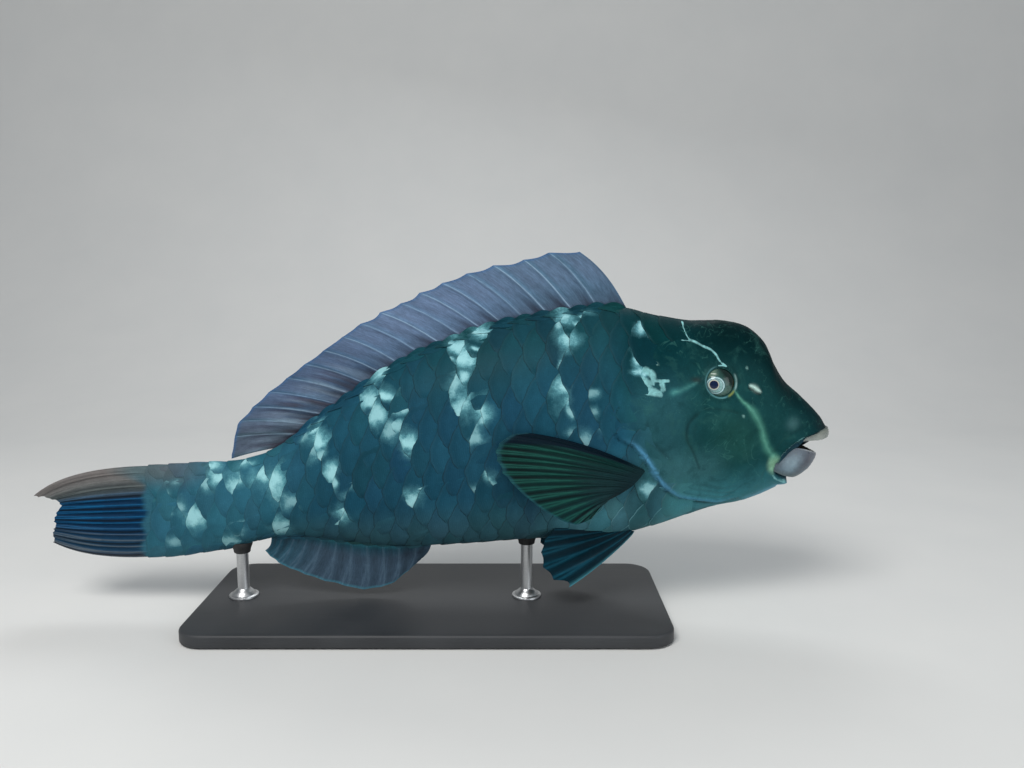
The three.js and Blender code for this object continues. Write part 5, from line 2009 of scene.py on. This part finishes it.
def tail_paint(s, t, c, f, ray, rand, p):
    up, blue, low = srgb(68, 77, 79), srgb(0, 44, 76), srgb(22, 58, 84)
    ss = s[:, None]
    col = mix(np.broadcast_to(up, (len(c), 3)), blue, smooth(0.20, 0.36, ss))
    col = mix(col, low, smooth(0.66, 0.84, ss))
    col = mix(col, srgb(66, 74, 86), smooth(0.90, 0.99, ss))
    gapd = np.exp(-(((f - 0.5) / 0.20) ** 2)) * smooth(0.07, 0.13, t) * np.where(np.floor(c) % 2 == 0, 1.0, 0.35) * smooth(0.12, 0.3, s)
    col = mix(col, srgb(4, 12, 18), (gapd * 0.85)[:, None])
    mid = (smooth(0.18, 0.34, s) * (1 - smooth(0.62, 0.8, s)))
    col = mix(col, srgb(18, 96, 142), (ray * 0.6 * mid)[:, None])
    col = mix(col, srgb(112, 118, 116), (ray * 0.42 * (1 - mid))[:, None])
    top = smooth(0.22, 0.04, s)
    col = mix(col, srgb(118, 112, 110), (top * 0.8)[:, None])
    root = smooth(mix(0.125, 0.34, top), mix(0.06, 0.1, top), t + 0.03 * (rand - 1) - 0.02 * np.sin(s * 23))
    col = mix(col, mix(np.array(C_STALK), srgb(96, 102, 98), (top * 0.6)[:, None]), (root * 0.95)[:, None])
    return col


def paired_mid(root, rim, bow):
    root, rim = np.array(root, float), np.array(rim, float)

    def mid(s, t):
        a, b = share(root, s), share(rim, s)
        lift = bow * 4 * t * (1 - t) * (1 - s) ** 1.5
        x = mix(a[..., 0], b[..., 0], t)
        y = mix(a[..., 1], b[..., 1], t**0.8)
        z = mix(a[..., 2], b[..., 2], t) + lift
        return np.stack([x, y, z], -1)

    return mid


PECTORAL = paired_mid(
    [[206, -57, 161], [194, -57, 148], [170, -56, 133]],
    [[92, -67, 199], [74, -70, 195], [65.5, -72.5, 182], [67, -74, 169], [79, -75.5, 154], [95, -76, 138], [118, -74, 121], [140, -70, 111], [156, -66, 115]],
    6,
)
PELVIC = paired_mid(
    [[203, -20, 88], [194, -20, 91], [184, -22, 93]],
    [[136, -37, 36], [122, -38, 45], [111, -38.5, 58], [109, -38, 73], [113, -37, 86], [123, -35, 97]],
    -3,
)


def pectoral_paint(s, t, c, f, ray, rand, p):
    lead, mem, low = srgb(0, 17, 30), srgb(6, 44, 42), srgb(8, 50, 52)
    col = mix(np.broadcast_to(mem, (len(c), 3)), low, smooth(0.5, 0.9, s)[:, None])
    gapd = np.exp(-(((f - 0.52) / 0.17) ** 2)) * np.clip(rand, 0, 1.1) * smooth(0.12, 0.4, t)
    gapd *= mix(0.45, 1.0, np.maximum(smooth(0.3, 0.6, s), smooth(0.6, 0.9, t)))
    col = mix(col, srgb(1, 10, 13), (gapd * 0.9)[:, None])
    col = mix(col, srgb(32, 92, 80), (ray * 0.5 * smooth(0.2, 0.6, t))[:, None])
    col = mix(col, srgb(22, 44, 50), (smooth(0.6, 0.2, t) * smooth(0.15, 0.35, s) * 0.55)[:, None])
    lim = 0.115 + 0.085 * smooth(0.5, 1.0, t)
    band = np.clip((lim - s - 0.012 * np.sin(t * 9)) / 0.03 + 0.5, 0, 1) * smooth(0.02, 0.16, t)
    col = mix(col, lead, (band * 0.95)[:, None])
    col = mix(col, srgb(10, 34, 40), (smooth(0.2, 0.02, t) * 0.8)[:, None])
    col = mix(col, srgb(34, 84, 96), (smooth(0.955, 0.99, t) * 0.5)[:, None])
    return col


def pelvic_paint(s, t, c, f, ray, rand, p):
    deep, pale = srgb(0, 38, 50), srgb(22, 88, 110)
    col = np.broadcast_to(deep, (len(c), 3)).copy()
    col = mix(col, srgb(4, 24, 34), (np.exp(-(((f - 0.5) / 0.25) ** 2)) * 0.5)[:, None])
    col = mix(col, pale, (ray * 0.45)[:, None])
    col = mix(col, srgb(80, 146, 160), (smooth(0.09, 0.0, s) * 0.6)[:, None])
    return col


# ------------------------------------------------------------------------------ stand


def paint_material():
    m, nt, bsdf = nodes_of("stand_paint")
    here = place(nt)
    big = grain(nt, here, 9, 4, 0.6)
    mid = grain(nt, place(nt, (0.06, 1.0, 1.0)), 190, 5, 0.65, 0.3)
    fine = grain(nt, here, 1500, 2, 0.6)
    col = blend(nt, remap(nt, big, 0.3, 0.7), rgb(srgb(46, 48, 51)), rgb(srgb(58, 60, 63)))
    col = blend(nt, maths(nt, "MULTIPLY", remap(nt, mid, 0.55, 0.8), 0.25), col, rgb(srgb(70, 72, 74)))
    put(nt, bsdf.inputs["Base Color"], col)
    put(nt, bsdf.inputs["Roughness"], remap(nt, big, 0.3, 0.7, 0.46, 0.6, "LINEAR"))
    bsdf.inputs["Specular IOR Level"].default_value = 0.4
    b = bump(nt, mid, 0.18, 0.0005)
    b = bump(nt, fine, 0.10, 0.0002, b)
    put(nt, bsdf.inputs["Normal"], b)
    return m


def steel_material():
    m, nt, bsdf = nodes_of("stand_steel")
    here = place(nt)
    lines = grain(nt, place(nt, (1.0, 1.0, 14.0)), 420, 3, 0.6)
    big = grain(nt, here, 40, 3, 0.6)
    col = blend(nt, remap(nt, lines, 0.3, 0.7), rgb(srgb(176, 178, 180)), rgb(srgb(200, 201, 202)))
    put(nt, bsdf.inputs["Base Color"], col)
    bsdf.inputs["Metallic"].default_value = 1.0
    put(nt, bsdf.inputs["Roughness"], remap(nt, big, 0.3, 0.7, 0.28, 0.42, "LINEAR"))
    put(nt, bsdf.inputs["Normal"], bump(nt, lines, 0.12, 0.0002))
    return m


def rubber_material():
    m, nt, bsdf = nodes_of("stand_pad")
    here = place(nt)
    fine = grain(nt, here, 900, 3, 0.6)
    col = blend(nt, remap(nt, fine, 0.3, 0.7), rgb(srgb(30, 31, 32)), rgb(srgb(44, 45, 46)))
    put(nt, bsdf.inputs["Base Color"], col)
    put(nt, bsdf.inputs["Roughness"], remap(nt, fine, 0.3, 0.7, 0.6, 0.75, "LINEAR"))
    put(nt, bsdf.inputs["Normal"], bump(nt, fine, 0.15, 0.0002))
    return m


def build_base(material):
    length, width, corner = 470.0, 200.0, 26.0
    per = 14
    prof = [(7.0, 0.0), (4.2, 0.0), (4.0, 0.25), (4.0, 1.5), (3.6, 1.9), (0.8, 1.9), (0.25, 2.1), (0.0, 2.6), (0.0, 11.2)]
    prof += [(2.8 * (1 - math.cos(a)), 11.2 + 2.8 * math.sin(a)) for a in np.linspace(0.2, PI / 2, 8)]
    prof += [(9.0, 14.0), (30.0, 14.0), (60.0, 14.0), (92.0, 14.0)]
    V = []
    for inset, z in prof:
        hl, hw, r = length / 2 - inset, width / 2 - inset, max(corner - inset, 1.5)
        pts = []
        for cx, cy, a0 in ((hl - r, hw - r, 0), (-(hl - r), hw - r, 90), (-(hl - r), -(hw - r), 180), (hl - r, -(hw - r), 270)):
            for a in np.linspace(a0, a0 + 90, per):
                pts.append((cx + r * math.cos(math.radians(a)), cy + r * math.sin(math.radians(a)), z))
        V += pts
    n = per * 4
    quads = grid_quads(len(prof), n, 0, wrap=True)
    V.append((0, 0, 14.0))
    top = len(V) - 1
    V.append((0, 0, 0.0))
    low = len(V) - 1
    last = (len(prof) - 1) * n
    tris = [(last + j, last + (j + 1) % n, top) for j in range(n)] + [((j + 1) % n, j, low) for j in range(n)]
    return make("base", V, quads, tris, None, None, material, sharp=40)


def lathe(name, x, prof, material, steps=72):
    th = np.arange(steps) / steps * 2 * PI
    V = []
    for r, z in prof:
        V += [(x + r * math.cos(a), r * math.sin(a), z) for a in th]
    quads = grid_quads(len(prof), steps, 0, wrap=True)
    V += [(x, 0, prof[0][1]), (x, 0, prof[-1][1])]
    a, b = len(V) - 2, len(V) - 1
    last = (len(prof) - 1) * steps
    tris = [((j + 1) % steps, j, a) for j in range(steps)] + [(last + j, last + (j + 1) % steps, b) for j in range(steps)]
    return make(name, V, quads, tris, None, None, material, sharp=40)


def build_rod(name, x, steel, pad):
    z = float(belly_z(np.array([x]))[0])
    prof = [(14.2, 13.9), (15.0, 14.3), (15.0, 15.6), (14.6, 16.2), (12.6, 16.7), (12.0, 17.2), (11.9, 17.7), (8.4, 20.6), (7.4, 21.6), (6.3, 22.8), (6.0, 23.6), (6.0, z - 7), (6.0, z + 20)]
    rod = lathe(name, x, prof, steel)
    cup = [(6.2, z - 7.4), (7.9, z - 7.2), (8.3, z - 6.6), (8.4, z - 5), (9.6, z - 1.4), (10.6, z + 1.2), (10.6, z + 4)]
    ferrule = lathe(name + "_pad", x, cup, pad)
    return rod, ferrule


# ------------------------------------------------------------------------------ put together

skin_mat = skin_material("fish_skin", False)
scale_mat = skin_material("fish_scales", True)
fin_dorsal_mat = fin_material("fin_dorsal")
fin_anal_mat = fin_material("fin_anal")
fin_tail_mat = fin_material("fin_tail")
fin_pectoral_mat = fin_material("fin_pectoral", 0.25)
fin_pelvic_mat = fin_material("fin_pelvic", 0.25)
eye_mat = eye_material()
beak_mat = beak_material()
paint_mat, steel_mat, pad_mat = paint_material(), steel_material(), rubber_material()

skin = build_skin(skin_mat)
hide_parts("head", "trunk", "tail_stalk")
for piece in build_scales(scale_mat):
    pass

for name, side in (("right", 1), ("left", -1)):
    o = build_eye("eyeball_" + name, side, eye_mat)
    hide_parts("eye_" + name)

upper = build_beak(
    "beak_plate_upper",
    [(396.5, 193.0), (389, 191.5), (378, 189.5), (367, 187.0), (356, 184.0)],
    [(398.6, 182.8), (389.5, 181.0), (380, 181.2), (370.4, 181.5), (356, 178.5)],
    lambda a: 26.6 * (1.17 * a - 0.17 * a**3),
    lambda v: 1.6 * np.sin(PI * np.clip(v * 0.9 + 0.1, 0, 1)) ** 1.2,
    1.0,
    beak_mat,
)
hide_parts("beak_upper")
lower = build_beak(
    "beak_plate_lower",
    [(366.0, 142.6), (361, 143.6), (355, 145.6), (347, 148.2), (337, 153)],
    [(386.6, 167.0), (380, 169.6), (371.7, 172.6), (359.1, 175.2), (340, 172.5)],
    lambda a: 30.5 * (1.18 * a - 0.18 * a**3),
    lambda v: 8.5 * np.sin(PI * v**0.75) ** 0.75,
    0.0,
    beak_mat,
)
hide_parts("beak_lower")

dorsal = build_fin(
    "dorsal_sheet", dorsal_mid, median_half(2.6, 0.35), 19, dorsal_paint, fin_dorsal_mat,
    spines=9, pleat=1.5, cut=0.042, rows=46, seed=3, length=80, ray_up=0.5, width=0.055,
)
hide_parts("dorsal_fin")
anal = build_fin(
    "anal_sheet", anal_mid, median_half(2.6, 0.35), 12, anal_paint, fin_anal_mat,
    spines=2, pleat=1.2, cut=0.05, rows=44, seed=5, length=60, ray_up=0.5, width=0.09,
)
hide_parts("anal_fin")
tail = build_fin(
    "tail_sheet", tail_mid, tail_half, 16, tail_paint, fin_tail_mat,
    spines=0, pleat=1.5, cut=0.035, rows=54, seed=7, length=115, ray_up=0.75, branch=0.17, soft=0.07,
)
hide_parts("tail_fin")
for name, far in (("right", False), ("left", True)):
    o = build_fin(
        "pectoral_sheet_" + name, PECTORAL, lambda s, t: mix(3.6, 0.35, np.minimum(1, 1.4 * t) ** 0.42), 17,
        pectoral_paint, fin_pectoral_mat, spines=1, pleat=1.0, cut=0.02, rows=50, seed=9, width=0.11, far=far, length=115, ray_up=0.5,
    )
    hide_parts("pectoral_fin_" + name)
    o = build_fin(
        "pelvic_sheet_" + name, PELVIC, lambda s, t: mix(2.2, 0.35, np.minimum(1, 1.4 * t) ** 0.5), 6,
        pelvic_paint, fin_pelvic_mat, spines=1, pleat=1.2, cut=0.06, rows=44, seed=13, far=far, length=75, ray_up=0.7,
    )
    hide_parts("pelvic_fin_" + name)

base = build_base(paint_mat)
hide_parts("stand_base")
for name, x in (("front", 96.0), ("rear", -196.0)):
    rod, pad = build_rod("rod_" + name, x, steel_mat, pad_mat)
    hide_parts("stand_rod_" + name)

# ------------------------------------------------------------------------------ floor, light, camera

scene = bpy.context.scene
fm, fnt, fb = nodes_of("floor_paper")
fh = place(fnt)
fcol = blend(fnt, grain(fnt, fh, 6, 3), rgb(srgb(214, 215, 214)), rgb(srgb(222, 222, 220)))
put(fnt, fb.inputs["Base Color"], fcol)
fb.inputs["Roughness"].default_value = 0.85
fb.inputs["Specular IOR Level"].default_value = 0.2
prof = [(-6.0, 0.0), (0.9, 0.0)]
prof += [(0.9 + 1.2 * math.sin(a), 1.2 * (1 - math.cos(a))) for a in np.linspace(0, PI / 2, 20)[1:]]
prof += [(2.1, 6.0)]
me = bpy.data.meshes.new("floor")
fv = [(x, y, z) for y, z in prof for x in (-7.0, 7.0)]
me.from_pydata(fv, [], [(2 * k, 2 * k + 1, 2 * k + 3, 2 * k + 2) for k in range(len(prof) - 1)])
me.polygons.foreach_set("use_smooth", [True] * len(me.polygons))
me.materials.append(fm)
floor = bpy.data.objects.new("floor", me)
scene.collection.objects.link(floor)

world = scene.world or bpy.data.worlds.new("studio")
scene.world = world
world.use_nodes = True
bg = next(n for n in world.node_tree.nodes if n.type == "BACKGROUND")
bg.inputs[0].default_value = (0.86, 0.90, 0.95, 1)
bg.inputs[1].default_value = 0.36


def lamp(name, at, to, size, power, colour=(1, 1, 1)):
    data = bpy.data.lights.new(name, "AREA")
    data.shape = "RECTANGLE"
    data.size, data.size_y = size
    data.energy = power
    data.color = colour
    o = bpy.data.objects.new(name, data)
    scene.collection.objects.link(o)
    d = np.array(to, float) - np.array(at, float)
    o.location = at
    from mathutils import Vector

    o.rotation_euler = Vector(d).to_track_quat("-Z", "Y").to_euler()
    return o


lamp("key", (-0.5, -1.3, 1.75), (0.05, 0, 0.2), (1.1, 0.8), 34, (1.0, 0.985, 0.96))
lamp("fill", (1.6, -1.5, 0.7), (0.1, 0, 0.22), (1.2, 1.2), 9, (0.92, 0.97, 1.0))
lamp("back", (0.2, 1.2, 1.6), (-0.1, 0, 0.2), (1.2, 0.6), 8, (0.95, 0.98, 1.0))

cam_data = bpy.data.cameras.new("camera")
cam_data.sensor_width = 36
cam_data.lens = 31.18
cam_data.clip_start = 0.02
cam = bpy.data.objects.new("camera", cam_data)
scene.collection.objects.link(cam)
E = math.radians(8)
target = (0.084, 0.0, 0.235)
cam.location = (target[0], -0.887 * math.cos(E), target[2] + 0.887 * math.sin(E))
cam.rotation_euler = (PI / 2 - E, 0, 0)
scene.camera = cam
scene.view_settings.view_transform = "Standard"
